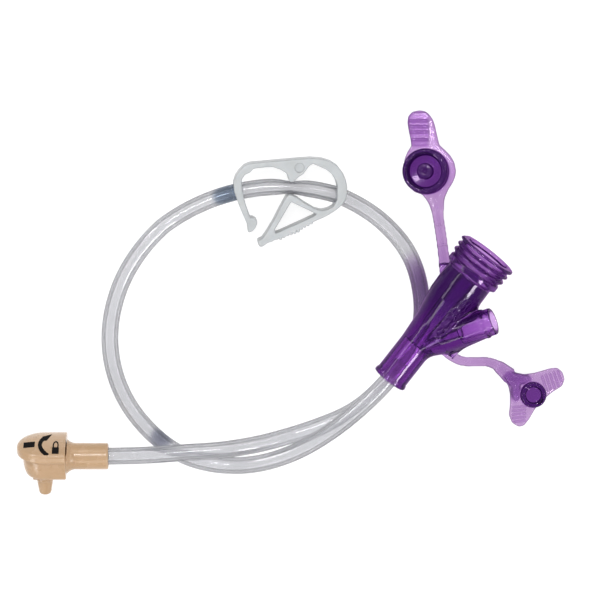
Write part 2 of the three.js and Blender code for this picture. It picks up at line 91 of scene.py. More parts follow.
def centripetal(points, per):
    """Centripetal Catmull-Rom curve through the points, with per samples in each span."""
    points = np.asarray(points, float)
    points = np.vstack([2 * points[0] - points[1], points, 2 * points[-1] - points[-2]])
    curve = []
    for i in range(1, len(points) - 2):
        p0, p1, p2, p3 = points[i - 1:i + 3]
        d0, d1, d2 = (np.linalg.norm(b - a) ** 0.5 for a, b in ((p0, p1), (p1, p2), (p2, p3)))
        m1 = ((p1 - p0) / d0 - (p2 - p0) / (d0 + d1) + (p2 - p1) / d1) * d1
        m2 = ((p2 - p1) / d1 - (p3 - p1) / (d1 + d2) + (p3 - p2) / d2) * d1
        for t in np.arange(per) / per:
            curve.append(p1 + m1 * t + (-3 * p1 + 3 * p2 - 2 * m1 - m2) * t * t
                         + (2 * p1 - 2 * p2 + m1 + m2) * t ** 3)
    curve.append(points[-2])
    return np.array(curve)


# ---------------------------------------------------------------- meshes
@contextmanager
def editing(mesh):
    bm = bmesh.new()
    bm.from_mesh(mesh)
    yield bm
    bm.to_mesh(mesh)
    bm.free()


def make_mesh(name, points, faces, materials, face_materials=None, smooth=True,
              same_skin=False):
    """Object from points in mm. faces is an array of quads or a list of mixed polygons."""
    mesh = bpy.data.meshes.new(name)
    metres = to_m(points)
    if isinstance(faces, np.ndarray):
        count, corners = faces.shape
        mesh.vertices.add(len(metres))
        mesh.vertices.foreach_set("co", metres.astype(np.float32).ravel())
        mesh.loops.add(count * corners)
        mesh.loops.foreach_set("vertex_index", faces.astype(np.int32).ravel())
        mesh.polygons.add(count)
        starts = np.arange(0, count * corners, corners, dtype=np.int32)
        mesh.polygons.foreach_set("loop_start", starts)
        mesh.update(calc_edges=True)
    else:
        mesh.from_pydata(metres.tolist(), [], faces)
    for material in materials:
        mesh.materials.append(material)
    if face_materials is not None:
        mesh.polygons.foreach_set("material_index", np.asarray(face_materials, np.int32))
    mesh.polygons.foreach_set("use_smooth", np.full(len(mesh.polygons), smooth))
    mesh.validate()
    mesh.update()
    if face_materials is not None and len(set(face_materials)) > 1:
        sharpen_material_edges(mesh)
        if same_skin:
            mark_seam(mesh)
    ob = bpy.data.objects.new(name, mesh)
    bpy.context.scene.collection.objects.link(ob)
    return ob


def sharpen_material_edges(mesh):
    with editing(mesh) as bm:
        for edge in bm.edges:
            if len({face.material_index for face in edge.link_faces}) == 2:
                edge.smooth = False


def mark_seam(mesh):
    """Gives seam faces the wall's own material and a face attribute the material reads."""
    index = np.zeros(len(mesh.polygons), np.int32)
    mesh.polygons.foreach_get("material_index", index)
    flag = mesh.attributes.new("seam", "FLOAT", "FACE")
    flag.data.foreach_set("value", (index == 1).astype(np.float32))
    mesh.polygons.foreach_set("material_index", np.zeros(len(index), np.int32))
    mesh.materials.pop(index=1)


def mm_of(ob):
    """The object's vertices in mm, in the CAD frame."""
    co = np.empty(len(ob.data.vertices) * 3, np.float32)
    ob.data.vertices.foreach_get("co", co)
    return co.reshape(-1, 3).astype(float) * 1000 - SHIFT


def set_weights(ob):
    """Bakes the object's transform into its mesh."""
    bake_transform(ob)


def cut_open(ob, point, normal, pick, gap):
    """Cuts the faces chosen by pick(centre in mm) with a plane, opens the cut by gap metres
    on each side and closes both ends with seam faces."""
    origin, normal = Vector(to_m(point)), Vector(normal)
    with editing(ob.data) as bm:
        faces = [f for f in bm.faces
                 if pick(np.array(f.calc_center_median()) * 1000 - SHIFT)]
        verts = {v for f in faces for v in f.verts}
        edges = {e for f in faces for e in f.edges}
        result = bmesh.ops.bisect_plane(bm, geom=list(verts) + list(edges) + faces,
                                        dist=1e-9, plane_co=origin, plane_no=normal)
        cut = [e for e in result["geom_cut"] if isinstance(e, bmesh.types.BMEdge)]
        bmesh.ops.split_edges(bm, edges=cut)
        rims = [e for e in bm.edges if len(e.link_faces) == 1
                and all(abs((v.co - origin).dot(normal)) < 1e-7 for v in e.verts)]
        for vert in {v for e in rims for v in e.verts}:
            side = sum((f.calc_center_median() - origin).dot(normal) for f in vert.link_faces)
            vert.co += normal * (gap if side > 0 else -gap)
        for face in bmesh.ops.holes_fill(bm, edges=rims, sides=0)["faces"]:
            face.normal_update()
            face.material_index = 1
            face.smooth = False
            side = sum((v.co - origin).dot(normal) for v in face.verts)
            if face.normal.dot(normal) * side > 0:
                face.normal_flip()


def islands(bm):
    bm.verts.ensure_lookup_table()
    bm.verts.index_update()
    seen = np.zeros(len(bm.verts), bool)
    found = []
    for first in bm.verts:
        if seen[first.index]:
            continue
        stack, group = [first], []
        seen[first.index] = True
        while stack:
            vert = stack.pop()
            group.append(vert)
            for edge in vert.link_edges:
                other = edge.other_vert(vert)
                if not seen[other.index]:
                    seen[other.index] = True
                    stack.append(other)
        found.append(group)
    return found


def split_object(ob, namer, min_verts=40):
    """Breaks an object into its islands, joined by the name namer(points in mm) gives them.
    Tiny islands, and those named None, are dropped."""
    bm = bmesh.new()
    bm.from_mesh(ob.data)
    materials = list(ob.data.materials)
    pieces = {}
    for group in islands(bm):
        if len(group) < min_verts:
            continue
        co = np.array([v.co for v in group]) * 1000 - SHIFT
        name = namer(co)
        if name is None:
            continue
        order = {v.index: k for k, v in enumerate(group)}
        faces = {f for v in group for f in v.link_faces}
        corners = [[order[v.index] for v in f.verts] for f in faces]
        pieces.setdefault(name, []).append((co, corners, [f.material_index for f in faces]))
    bm.free()
    bpy.data.objects.remove(ob)
    made = {}
    for name, parts in pieces.items():
        points, faces, indices, base = [], [], [], 0
        for co, corners, index in parts:
            points.append(co)
            faces += [[base + i for i in face] for face in corners]
            indices += index
            base += len(co)
        made[name] = make_mesh(name, np.concatenate(points), faces, materials, indices,
                               same_skin=True)
    return made


# ---------------------------------------------------------------- distance fields
class Table2D:
    """Signed distance to a closed outline, softened by rounding (mm), tabulated finely and
    read back by bilinear interpolation."""
    STEP = 0.05

    def __init__(self, outline, rounding, pad=2.5, holes=()):
        outline = np.asarray(outline, float)
        step = self.STEP
        self.low = outline.min(0) - pad
        high = outline.max(0) + pad
        size = np.ceil((high - self.low) / step).astype(int) + 1
        grid = np.meshgrid(*[self.low[k] + step * np.arange(size[k]) for k in (0, 1)],
                           indexing="ij")
        distance = self._distance(outline, *grid)
        for hole in holes:
            distance = np.maximum(distance, -self._distance(np.asarray(hole, float), *grid))
        self.table = self._blur(distance, rounding / step).astype(np.float32)

    @staticmethod
    def _distance(outline, x, y):
        nearest = np.full(x.shape, 1e9)
        inside = np.zeros(x.shape, bool)
        for i in range(len(outline)):
            a, b = outline[i], outline[(i + 1) % len(outline)]
            edge = b - a
            if edge @ edge < 1e-12:
                continue
            from_x, from_y = x - a[0], y - a[1]
            share = np.clip((from_x * edge[0] + from_y * edge[1]) / (edge @ edge), 0, 1)
            dx, dy = from_x - share * edge[0], from_y - share * edge[1]
            nearest = np.minimum(nearest, dx * dx + dy * dy)
            if a[1] != b[1]:
                crossing = (b[0] - a[0]) * (y - a[1]) / (b[1] - a[1]) + a[0]
                inside ^= ((a[1] <= y) != (b[1] <= y)) & (x < crossing)
        distance = np.sqrt(nearest)
        return np.where(inside, -distance, distance)

    @staticmethod
    def _blur(values, sigma):
        reach = max(1, int(math.ceil(sigma * 2.2)))
        kernel = np.exp(-0.5 * (np.arange(-reach, reach + 1) / sigma) ** 2)
        kernel /= kernel.sum()
        rows, columns = values.shape
        wide = np.pad(values, ((reach, reach), (0, 0)), mode="edge")
        values = sum(k * wide[i:i + rows] for i, k in enumerate(kernel))
        wide = np.pad(values, ((0, 0), (reach, reach)), mode="edge")
        return sum(k * wide[:, i:i + columns] for i, k in enumerate(kernel))

    def __call__(self, x, y):
        table = self.table
        grid_x = (x - self.low[0]) / self.STEP
        grid_y = (y - self.low[1]) / self.STEP
        held_x = np.clip(grid_x, 0, table.shape[0] - 1.001)
        held_y = np.clip(grid_y, 0, table.shape[1] - 1.001)
        i, j = held_x.astype(np.int32), held_y.astype(np.int32)
        u, v = held_x - i, held_y - j
        value = ((table[i, j] * (1 - u) + table[i + 1, j] * u) * (1 - v)
                 + (table[i, j + 1] * (1 - u) + table[i + 1, j + 1] * u) * v)
        return value + np.hypot(grid_x - held_x, grid_y - held_y) * self.STEP


def turned_table(profile, rounding):
    """Table of a turned solid from [radius, height] pairs, bottom up. The profile is mirrored
    so that the axis isn't a boundary."""
    mirrored = list(map(tuple, profile)) + [(-r, h) for r, h in reversed(profile)]
    outline = [mirrored[0]]
    for point in mirrored[1:]:
        if abs(point[0] - outline[-1][0]) + abs(point[1] - outline[-1][1]) > 1e-9:
            outline.append(point)
    return Table2D(outline, rounding)


class Axis:
    """A line with a frame: gives the distance along it, sideways and upwards from it."""

    def __init__(self, origin, plan, rise):
        """plan and rise are the heading and the slope, in degrees."""
        self.origin = np.array(origin, float)
        c, s = math.cos(math.radians(plan)), math.sin(math.radians(plan))
        level, climb = math.cos(math.radians(rise)), math.sin(math.radians(rise))
        self.along = np.array([c * level, s * level, climb])
        self.side = np.array([-s, c, 0.0])
        self.up = np.cross(self.along, self.side)

    def __call__(self, x, y, z):
        px, py, pz = x - self.origin[0], y - self.origin[1], z - self.origin[2]
        return [px * d[0] + py * d[1] + pz * d[2] for d in (self.along, self.side, self.up)]

    def turned(self, x, y, z):
        """Radius from the axis and distance along it."""
        along, side, up = self(x, y, z)
        return np.hypot(side, up), along


def inside_box(field, x, y, z, low, high):
    """The field inside a box, and a large number outside it."""
    inside = ((x > low[0]) & (x < high[0]) & (y > low[1]) & (y < high[1])
              & (z > low[2]) & (z < high[2]))
    out = np.full(x.shape, 50.0)
    if inside.any():
        out[inside] = field(x[inside], y[inside], z[inside])
    return out


def slab(edge, face, rounding):
    """A plate from the distances to its edge and to its face, with rounded corners."""
    a, b = edge + rounding, face + rounding
    outside = np.hypot(np.maximum(a, 0), np.maximum(b, 0))
    return outside + np.minimum(np.maximum(a, b), 0) - rounding


def strap_field(x, y, z, stations, rib=0.0):
    """A flat strap swept through stations (x, y, z, level width, upright thickness), with an
    optional raised rib along the middle of its top."""
    points, size = stations[:, :3], stations[:, 3:]
    last = len(points) - 2
    nearest = [np.full(x.shape, 1e9)] + [np.zeros(x.shape) for _ in range(5)]
    for i in range(last + 1):
        start, run = points[i], points[i + 1] - points[i]
        share = ((x - start[0]) * run[0] + (y - start[1]) * run[1]
                 + (z - start[2]) * run[2]) / (run @ run)
        held = np.clip(share, 0, 1)
        dx = x - start[0] - held * run[0]
        dy = y - start[1] - held * run[1]
        dz = z - start[2] - held * run[2]
        side = unit([-run[1], run[0], 0])
        up = np.cross(unit(run), side)
        over = np.zeros(x.shape)
        if i in (0, last):
            past = share < 0 if i == 0 else share > 1
            ahead = (dx * run[0] + dy * run[1] + dz * run[2]) / math.sqrt(run @ run)
            over = np.where(past, np.abs(ahead), 0.0)
        here = (dx * dx + dy * dy + dz * dz,
                np.abs(dx * side[0] + dy * side[1] + dz * side[2]),
                dx * up[0] + dy * up[1] + dz * up[2],
                over,
                size[i, 0] + held * (size[i + 1, 0] - size[i, 0]),
                size[i, 1] + held * (size[i + 1, 1] - size[i, 1]))
        closer = here[0] < nearest[0]
        nearest = [np.where(closer, new, old) for new, old in zip(here, nearest)]
    _, lateral, upright, beyond, width, thickness = nearest
    if rib:
        upright = upright - rib * np.exp(-(lateral / 0.42) ** 2) * (upright > 0)
    distance = slab(lateral - width / 2, np.abs(upright) - thickness / 2, rounding=0.55)
    return np.maximum(distance, beyond - 0.02)


def dense(stations, per=3):
    """The same stations with the centre line rounded through them, per samples in a span."""
    points = stations[:, :3]
    rows = []
    for i in range(len(points) - 1):
        p1, p2 = points[i], points[i + 1]
        p0 = points[i - 1] if i else 2 * p1 - p2
        p3 = points[i + 2] if i + 2 < len(points) else 2 * p2 - p1
        for k in range(per):
            t = k / per
            centre = 0.5 * (2 * p1 + (p2 - p0) * t + (2 * p0 - 5 * p1 + 4 * p2 - p3) * t * t
                            + (3 * p1 - p0 - 3 * p2 + p3) * t ** 3)
            size = stations[i, 3:] + t * (stations[i + 1, 3:] - stations[i, 3:])
            rows.append(np.r_[centre, size])
    rows.append(stations[-1])
    return np.array(rows)


# ---------------------------------------------------------------- surfaces from fields
BLOCK = 4   # cells along a block; only blocks near the surface are sampled finely


def sample_field(field, low, high, cell):
    """Grid of field values: coarse by blocks, fine near the surface, closed at the box."""
    blocks = np.ceil((high - low) / (cell * BLOCK)).astype(int)
    size = blocks * BLOCK + 1
    values = np.empty(tuple(size), np.float32)
    centres = np.meshgrid(*[low[i] + cell * BLOCK * (np.arange(blocks[i]) + 0.5)
                            for i in range(3)], indexing="ij")
    coarse = field(*[c.ravel() for c in centres]).reshape(centres[0].shape)
    filled = coarse
    for axis in range(3):
        filled = np.repeat(filled, BLOCK, axis)
    values[:-1, :-1, :-1] = filled
    values[-1, :, :] = values[-2, :, :]
    values[:, -1, :] = values[:, -2, :]
    values[:, :, -1] = values[:, :, -2]
    near = np.argwhere(np.abs(coarse) < cell * BLOCK * 1.25)
    offsets = np.stack(np.meshgrid(*[np.arange(BLOCK + 1)] * 3, indexing="ij"), -1)
    offsets = offsets.reshape(-1, 3)
    batch = 12000
    for start in range(0, len(near), batch):
        index = (near[start:start + batch, None, :] * BLOCK + offsets[None]).reshape(-1, 3)
        flat = np.unique(np.ravel_multi_index(index.T, values.shape))
        points = low + cell * np.stack(np.unravel_index(flat, values.shape), -1)
        values.ravel()[flat] = field(points[:, 0], points[:, 1], points[:, 2])
    for axis in range(3):
        sides = np.moveaxis(values, axis, 0)
        sides[0], sides[-1] = np.maximum(sides[0], cell), np.maximum(sides[-1], cell)
    return values


def cell_points(values, cells):
    """For each crossed cell, the mean of the crossings on its edges, in cell units."""
    total = np.zeros((len(cells), 3))
    count = np.zeros(len(cells))
    corners = [(i, j, k) for k in (0, 1) for j in (0, 1) for i in (0, 1)]
    at_corner = {c: values[cells[:, 0] + c[0], cells[:, 1] + c[1], cells[:, 2] + c[2]]
                 .astype(float) for c in corners}
    for corner in corners:
        for axis in range(3):
            if corner[axis]:
                continue
            other = tuple(1 if k == axis else corner[k] for k in range(3))
            a, b = at_corner[corner], at_corner[other]
            crossed = (a < 0) != (b < 0)
            points = np.zeros((len(cells), 3))
            points[:] = corner
            points[:, axis] += np.where(crossed, a / np.where(crossed, a - b, 1), 0)
            total[crossed] += points[crossed]
            count[crossed] += 1
    return total / count[:, None]


def nets(field, low, high, cell):
    """Closed surface of field = 0 by surface nets, pulled onto the exact surface.
    Returns vertices and outward quads."""
    low, high = np.asarray(low, float), np.asarray(high, float)
    values = sample_field(field, low, high, cell)
    size = np.array(values.shape)
    solid = values < 0
    filled = np.zeros(tuple(size - 1), np.int8)
    for i in (0, 1):
        for j in (0, 1):
            for k in (0, 1):
                filled += solid[i:size[0] - 1 + i, j:size[1] - 1 + j, k:size[2] - 1 + k]
    cells = np.argwhere((filled > 0) & (filled < 8))
    cell_id = np.full(filled.shape, -1, np.int32)
    cell_id[tuple(cells.T)] = np.arange(len(cells))
    verts = low + cell * (cells + cell_points(values, cells))
    quads = []
    for axis in range(3):
        first, second = (axis + 1) % 3, (axis + 2) % 3
        here = [slice(1, size[i] - 1) for i in range(3)]
        there = list(here)
        here[axis], there[axis] = slice(0, size[axis] - 1), slice(1, size[axis])
        solid_here, solid_there = solid[tuple(here)], solid[tuple(there)]
        crossed = np.argwhere(solid_here != solid_there)
        base = crossed.copy()
        base[:, first] += 1
        base[:, second] += 1
        around = []
        for back_first, back_second in ((1, 1), (0, 1), (0, 0), (1, 0)):
            index = base.copy()
            index[:, first] -= back_first
            index[:, second] -= back_second
            around.append(cell_id[tuple(index.T)])
        quad = np.stack(around, 1)
        flip = ~solid_here[tuple(crossed.T)]
        quad[flip] = quad[flip][:, ::-1]
        quads.append(quad)
    for _ in range(2):
        verts = pull_onto(field, verts, cell)
    return verts, np.concatenate(quads)


def pull_onto(field, verts, cell, probe=0.02):
    """One damped Newton step of the vertices towards field = 0."""
    x, y, z = verts.T
    slope = np.stack([field(x + probe, y, z) - field(x - probe, y, z),
                      field(x, y + probe, z) - field(x, y - probe, z),
                      field(x, y, z + probe) - field(x, y, z - probe)], 1) / (2 * probe)
    slope_sq = np.maximum((slope * slope).sum(1), 0.2)
    step = -field(x, y, z)[:, None] * slope / slope_sq[:, None]
    length = np.linalg.norm(step, axis=1)
    step *= np.minimum(1, 0.6 * cell / np.maximum(length, 1e-9))[:, None]
    return verts + 0.9 * step


def relax(verts, quads, rounds):
    """Taubin smoothing: takes the cell pattern out of a surface without shrinking it."""
    edges = np.concatenate([quads[:, [k, (k + 1) % 4]] for k in range(4)])
    edges = np.unique(np.sort(edges, 1), axis=0)
    i, j = np.r_[edges[:, 0], edges[:, 1]], np.r_[edges[:, 1], edges[:, 0]]
    count = len(verts)
    degree = np.maximum(np.bincount(i, minlength=count), 1)[:, None]
    for _ in range(rounds):
        for strength in (0.5, -0.53):
            mean = np.stack([np.bincount(i, verts[j, k], count) for k in range(3)], 1) / degree
            verts = verts + strength * (mean - verts)
    return verts


def field_object(name, field, low, high, cell, materials, rounds=3):
    """Object from a distance field in a box."""
    verts, quads = nets(field, low, high, cell)
    return make_mesh(name, relax(verts, quads, rounds), quads, materials)


def true_normals(ob, field, probe=0.08):
    """Shades a net with the exact slope of the shape it follows, so highlights run clean."""
    verts = mm_of(ob)
    slope = np.empty_like(verts)
    for i in range(3):
        offset = np.zeros(3)
        offset[i] = probe
        slope[:, i] = field(*(verts + offset).T) - field(*(verts - offset).T)
    length = np.linalg.norm(slope, axis=1)
    own = np.empty(len(verts) * 3, np.float32)
    ob.data.vertices.foreach_get("normal", own)
    normals = slope / np.maximum(length, 1e-9)[:, None]
    # a zero normal keeps the mesh's own one: at cuts, creases and where the field is flat
    keep_own = ((length < 1.5 * probe) | (np.abs(field(*verts.T)) > 0.15)
                | ((normals * own.reshape(-1, 3)).sum(1) < 0.6))
    normals[keep_own] = 0
    ob.data.normals_split_custom_set_from_vertices(normals.tolist())


# ---------------------------------------------------------------- shader helpers
def add_node(tree, kind, inputs=None, **settings):
    """Adds a shader node. Each input is given a value, or a socket to be linked from."""
    node = tree.nodes.new("ShaderNode" + kind)
    for key, value in settings.items():
        setattr(node, key, value)
    for key, value in (inputs or {}).items():
        if isinstance(value, bpy.types.NodeSocket):
            tree.links.new(value, node.inputs[key])
        else:
            node.inputs[key].default_value = value
    return node


def new_mat(name):
    material = bpy.data.materials.new(name)
    material.use_nodes = True
    tree = material.node_tree
    tree.nodes.clear()
    return material, tree, add_node(tree, "OutputMaterial")


def noise(tree, scale, detail, roughness, stretch=None):
    """Noise in object coordinates, stretched by a scale for each axis if given."""
    place = add_node(tree, "TexCoord").outputs["Object"]
    if stretch:
        place = add_node(tree, "Mapping", {"Vector": place, "Scale": stretch}).outputs["Vector"]
    return add_node(tree, "TexNoise", {"Vector": place, "Scale": scale, "Detail": detail,
                                       "Roughness": roughness}).outputs["Fac"]


def bump(tree, height, strength, distance):
    return add_node(tree, "Bump", {"Height": height, "Strength": strength,
                                   "Distance": distance}).outputs["Normal"]


def ramp(tree, factor, stops):
    """Color ramp with stops of (position, color)."""
    node = add_node(tree, "ValToRGB", {"Fac": factor})
    elements = node.color_ramp.elements
    while len(elements) < len(stops):
        elements.new(0.5)
    for i, (position, color) in enumerate(stops):
        elements[i].position = position
        elements[i].color = color
    return node.outputs["Color"]


def grey(value):
    return (value, value, value, 1)


def mix_shader(tree, factor, first, second):
    return add_node(tree, "MixShader", {0: factor, 1: first, 2: second}).outputs[0]


def multiply(tree, factor, first, second):
    """Multiplies two colors by the given factor."""
    return add_node(tree, "Mix", {0: factor, 6: first, 7: second},
                    data_type="RGBA", blend_type="MULTIPLY").outputs[2]


def facing(tree):
    return add_node(tree, "LayerWeight", {"Blend": 0.5}).outputs["Facing"]


def absorb(tree, output, loss):
    """Colored depth from the light lost per mm in red, green and blue."""
    top = max(loss) * 1.05
    volume = add_node(tree, "VolumeAbsorption", {
        "Color": (*[1 - value / top for value in loss], 1), "Density": top * 1000.0})
    tree.links.new(volume.outputs[0], output.inputs["Volume"])


# ---------------------------------------------------------------- kinds of material
def clear_plastic(name, tint, painted_edge_shade, roughness, milk, milk_color, shadow_tint, ior, grain,
                  bump_distance, loss=None):
    """See-through moulded plastic: a smooth refracting skin over a colored depth, painted
    shade that darkens the skin towards grazing edges, a little cloudiness (milk), and light
    shadows."""
    material, tree, output = new_mat(name)
    glass = add_node(tree, "BsdfGlass", {"Color": (*tint, 1), "IOR": ior})
    # painted shade: the skin's color darkens towards its grazing edges
    edge = ramp(tree, facing(tree), [(0.3, (*tint, 1)), (0.85, (*painted_edge_shade, 1))])
    tree.links.new(edge, glass.inputs["Color"])
    uneven = ramp(tree, noise(tree, scale=grain * 0.35, detail=4, roughness=0.6),
                  [(0.3, grey(roughness * 0.9)), (0.7, grey(roughness * 1.15))])
    tree.links.new(uneven, glass.inputs["Roughness"])
    grained = bump(tree, noise(tree, scale=grain, detail=3, roughness=0.55),
                   strength=0.12, distance=bump_distance)
    tree.links.new(grained, glass.inputs["Normal"])

    darker = tuple(value * 0.86 for value in milk_color)
    cloud = ramp(tree, noise(tree, scale=grain * 0.12, detail=3, roughness=0.6),
                 [(0.35, (*darker, 1)), (0.65, (*milk_color, 1))])
    milky = add_node(tree, "BsdfPrincipled",
                     {"Base Color": cloud, "Roughness": 0.18, "Normal": grained})
    glow = add_node(tree, "BsdfTranslucent", {"Color": cloud})
    milky = mix_shader(tree, 0.5, milky.outputs[0], glow.outputs[0])
    surface = mix_shader(tree, milk, glass.outputs[0], milky)

    is_shadow = add_node(tree, "LightPath").outputs["Is Shadow Ray"]
    shadow = add_node(tree, "BsdfTransparent", {"Color": (*shadow_tint, 1)})
    surface = mix_shader(tree, is_shadow, surface, shadow.outputs[0])
    if loss:
        # seam faces inside the moulding are invisible
        seam = add_node(tree, "Attribute", attribute_name="seam")
        hidden = add_node(tree, "BsdfTransparent")
        surface = mix_shader(tree, seam.outputs["Fac"], surface, hidden.outputs[0])
        absorb(tree, output, loss)
    tree.links.new(surface, output.inputs["Surface"])
    return material


def seam_mat(name, loss=None):
    """Invisible face inside a clear part, with the part's own colored depth."""
    material, tree, output = new_mat(name)
    clear = add_node(tree, "BsdfTransparent")
    tree.links.new(clear.outputs[0], output.inputs["Surface"])
    if loss:
        absorb(tree, output, loss)
    return material


def solid_plastic(name, dark, light, roughness, grain, bump_strength, stretch=None,
                  edge=None, extra=None):
    """Opaque plastic. edge paints shade that darkens it at grazing angles, and extra holds
    further inputs of the Principled shader."""
    material, tree, output = new_mat(name)
    mottle = noise(tree, scale=grain * 0.15, detail=4, roughness=0.6)
    color = ramp(tree, mottle, [(0.3, (*dark, 1)), (0.7, (*light, 1))])
    if edge:
        # painted shade: darker color at grazing angles
        shade = ramp(tree, facing(tree), [(0.12, grey(1)), (0.75, (edge, edge, edge * 1.02, 1))])
        color = multiply(tree, 1.0, color, shade)
    uneven = ramp(tree, mottle, [(0.3, grey(roughness * 0.8)), (0.7, grey(roughness * 1.2))])
    grained = bump(tree, noise(tree, scale=grain, detail=4, roughness=0.6, stretch=stretch),
                   strength=bump_strength, distance=0.0003)
    plastic = add_node(tree, "BsdfPrincipled", {
        "Base Color": color, "Roughness": uneven, "Normal": grained, **(extra or {})})
    tree.links.new(plastic.outputs[0], output.inputs["Surface"])
    return material


def glass_of(material):
    return next(n for n in material.node_tree.nodes if n.type == "BSDF_GLASS")


def tint_skin(material, factor, color):
    """Multiplies the glass skin's color, as far as the factor socket says."""
    tree, socket = material.node_tree, glass_of(material).inputs["Color"]
    before = socket.links[0].from_socket
    tree.links.new(multiply(tree, factor, before, (*color, 1)), socket)


def tint_near(material, point, inner, outer, color):
    """The skin takes a deeper color around a point, fading out between two radii (mm)."""
    tree = material.node_tree
    place = add_node(tree, "NewGeometry").outputs["Position"]
    distance = add_node(tree, "VectorMath", {0: place, 1: vec_m(point)}, operation="DISTANCE")
    fade = add_node(tree, "MapRange", {
        "Value": distance.outputs["Value"], "From Min": inner / 1000, "From Max": outer / 1000,
        "To Min": 1.0, "To Max": 0.0}, interpolation_type="SMOOTHSTEP")
    tint_skin(material, fade.outputs["Result"], color)


def deepened(material, color):
    """The skin takes a deeper color where the mesh carries a "deep" value."""
    deep = add_node(material.node_tree, "Attribute", attribute_name="deep")
    tint_skin(material, deep.outputs["Fac"], color)


def beaded_skin(material, start, end, radius, scale, height):
    """Small rounded blisters in the skin within radius (mm) of the line from start to end."""
    tree = material.node_tree
    start, end = np.array(vec_m(start)), np.array(vec_m(end))
    length = float(np.linalg.norm(end - start))
    heading = tuple(float(v) for v in (end - start) / length)
    place = add_node(tree, "NewGeometry").outputs["Position"]
    offset = add_node(tree, "VectorMath", {0: place, 1: tuple(float(v) for v in start)},
                      operation="SUBTRACT").outputs[0]
    along = add_node(tree, "VectorMath", {0: offset, 1: heading}, operation="DOT_PRODUCT")
    held = add_node(tree, "MapRange", {
        "Value": along.outputs["Value"], "From Min": 0.0, "From Max": length,
        "To Min": 0.0, "To Max": length})
    foot = add_node(tree, "VectorMath", {0: heading, "Scale": held.outputs["Result"]},
                    operation="SCALE")
    away = add_node(tree, "VectorMath", {0: offset, 1: foot.outputs[0]}, operation="DISTANCE")
    mask = add_node(tree, "MapRange", {
        "Value": away.outputs["Value"], "From Min": radius * 0.0005,
        "From Max": radius * 0.001, "To Min": 1.0, "To Max": 0.0},
        interpolation_type="SMOOTHSTEP")
    spots = add_node(tree, "TexVoronoi", {"Vector": place, "Scale": scale})
    domes = add_node(tree, "Math", {0: 1.0, 1: spots.outputs["Distance"]},
                     operation="SUBTRACT")
    masked = add_node(tree, "Math", {0: domes.outputs[0], 1: mask.outputs["Result"]},
                      operation="MULTIPLY")
    socket = glass_of(material).inputs["Normal"]
    blisters = add_node(tree, "Bump", {
        "Strength": 1.0, "Distance": height, "Height": masked.outputs[0],
        "Normal": socket.links[0].from_socket})
    tree.links.new(blisters.outputs["Normal"], socket)


# ---------------------------------------------------------------- materials
PURPLE_LOSS = (0.33, 0.61, 0.25)      # light lost per mm in red, green and blue
FLEXIBLE_LOSS = (0.44, 0.67, 0.33)

# each clear material below darkens its skin towards grazing edges with a painted shade color
TUBE = clear_plastic(
    "clear_tubing", tint=(0.955, 0.955, 0.96), painted_edge_shade=(0.5, 0.5, 0.52), roughness=0.06,
    milk=0.22, milk_color=(0.55, 0.55, 0.57), shadow_tint=(0.86, 0.865, 0.88), ior=1.45,
    grain=500.0, bump_distance=0.000004)
SEAM = seam_mat("seam_inside")
SEAM_PURPLE = seam_mat("purple_seam_inside", PURPLE_LOSS)
SEAM_FLEXIBLE = seam_mat("purple_strap_seam_inside", FLEXIBLE_LOSS)
PURPLE = clear_plastic(
    "purple_moulding", tint=(0.95, 0.86, 0.99), painted_edge_shade=(0.5, 0.25, 0.62), roughness=0.04,
    milk=0.09, milk_color=(0.36, 0.10, 0.62), shadow_tint=(0.8, 0.7, 0.82), ior=1.46,
    grain=700.0, bump_distance=0.00003, loss=PURPLE_LOSS)
FLEXIBLE = clear_plastic(
    "purple_flexible_moulding", tint=(0.95, 0.89, 0.94), painted_edge_shade=(0.34, 0.16, 0.45),
    roughness=0.1, milk=0.045, milk_color=(0.42, 0.14, 0.66), shadow_tint=(0.8, 0.7, 0.82),
    ior=1.46, grain=700.0, bump_distance=0.00003, loss=FLEXIBLE_LOSS)
# the clamp's edge value is painted shade at its grazing edges
WHITE = solid_plastic(
    "white_clamp_plastic", dark=(0.56, 0.58, 0.585), light=(0.63, 0.65, 0.66),
    roughness=0.34, grain=1400.0, bump_strength=0.12, edge=0.62,
    extra={"Subsurface Weight": 0.35, "Subsurface Radius": (1.0, 0.9, 0.8),
           "Subsurface Scale": 0.0008})
TAN = solid_plastic(
    "tan_connector_plastic", dark=(0.56, 0.37, 0.215), light=(0.625, 0.415, 0.25),
    roughness=0.27, grain=1300.0, bump_strength=0.14, stretch=(0.35, 1.6, 1.6),
    extra={"Subsurface Weight": 0.2, "Subsurface Radius": (1.0, 0.9, 0.8),
           "Subsurface Scale": 0.0006, "Coat Weight": 0.25, "Coat Roughness": 0.08})
INK = solid_plastic(
    "printed_black_ink", dark=(0.006, 0.005, 0.005), light=(0.016, 0.014, 0.013),
    roughness=0.7, grain=3000.0, bump_strength=0.2, extra={"Specular IOR Level": 0.06})

# painted purple light from the adapter in the clear tube wall beside it
tint_near(TUBE, (29.645, 1.634, 5.006), inner=4, outer=11.5, color=(0.58, 0.41, 0.67))
# painted shade in the tube wall beside the clamp
tint_near(TUBE, (-14.255, 23.834, 6.006), inner=2, outer=4, color=(0.5, 0.57, 0.66))
# painted shade in the tube wall where the lead crosses over it
tint_near(TUBE, (-28.765, -29.7, 2.5), inner=1.2, outer=3.4, color=(0.58, 0.59, 0.66))
# thicker or doubled walls of the adapter
tint_near(PURPLE, (41.855, 10.12, 13.0), inner=5.5, outer=10.0, color=(0.88, 0.85, 0.89))
tint_near(PURPLE, (34.815, 2.42, 10.0), inner=4.5, outer=10.5, color=(0.9, 0.88, 0.93))
# deeper color of the flexible caps where the mesh's deep value says: their thicker parts, and
# painted shade on the rib crests
deepened(FLEXIBLE, (0.84, 0.68, 0.92))

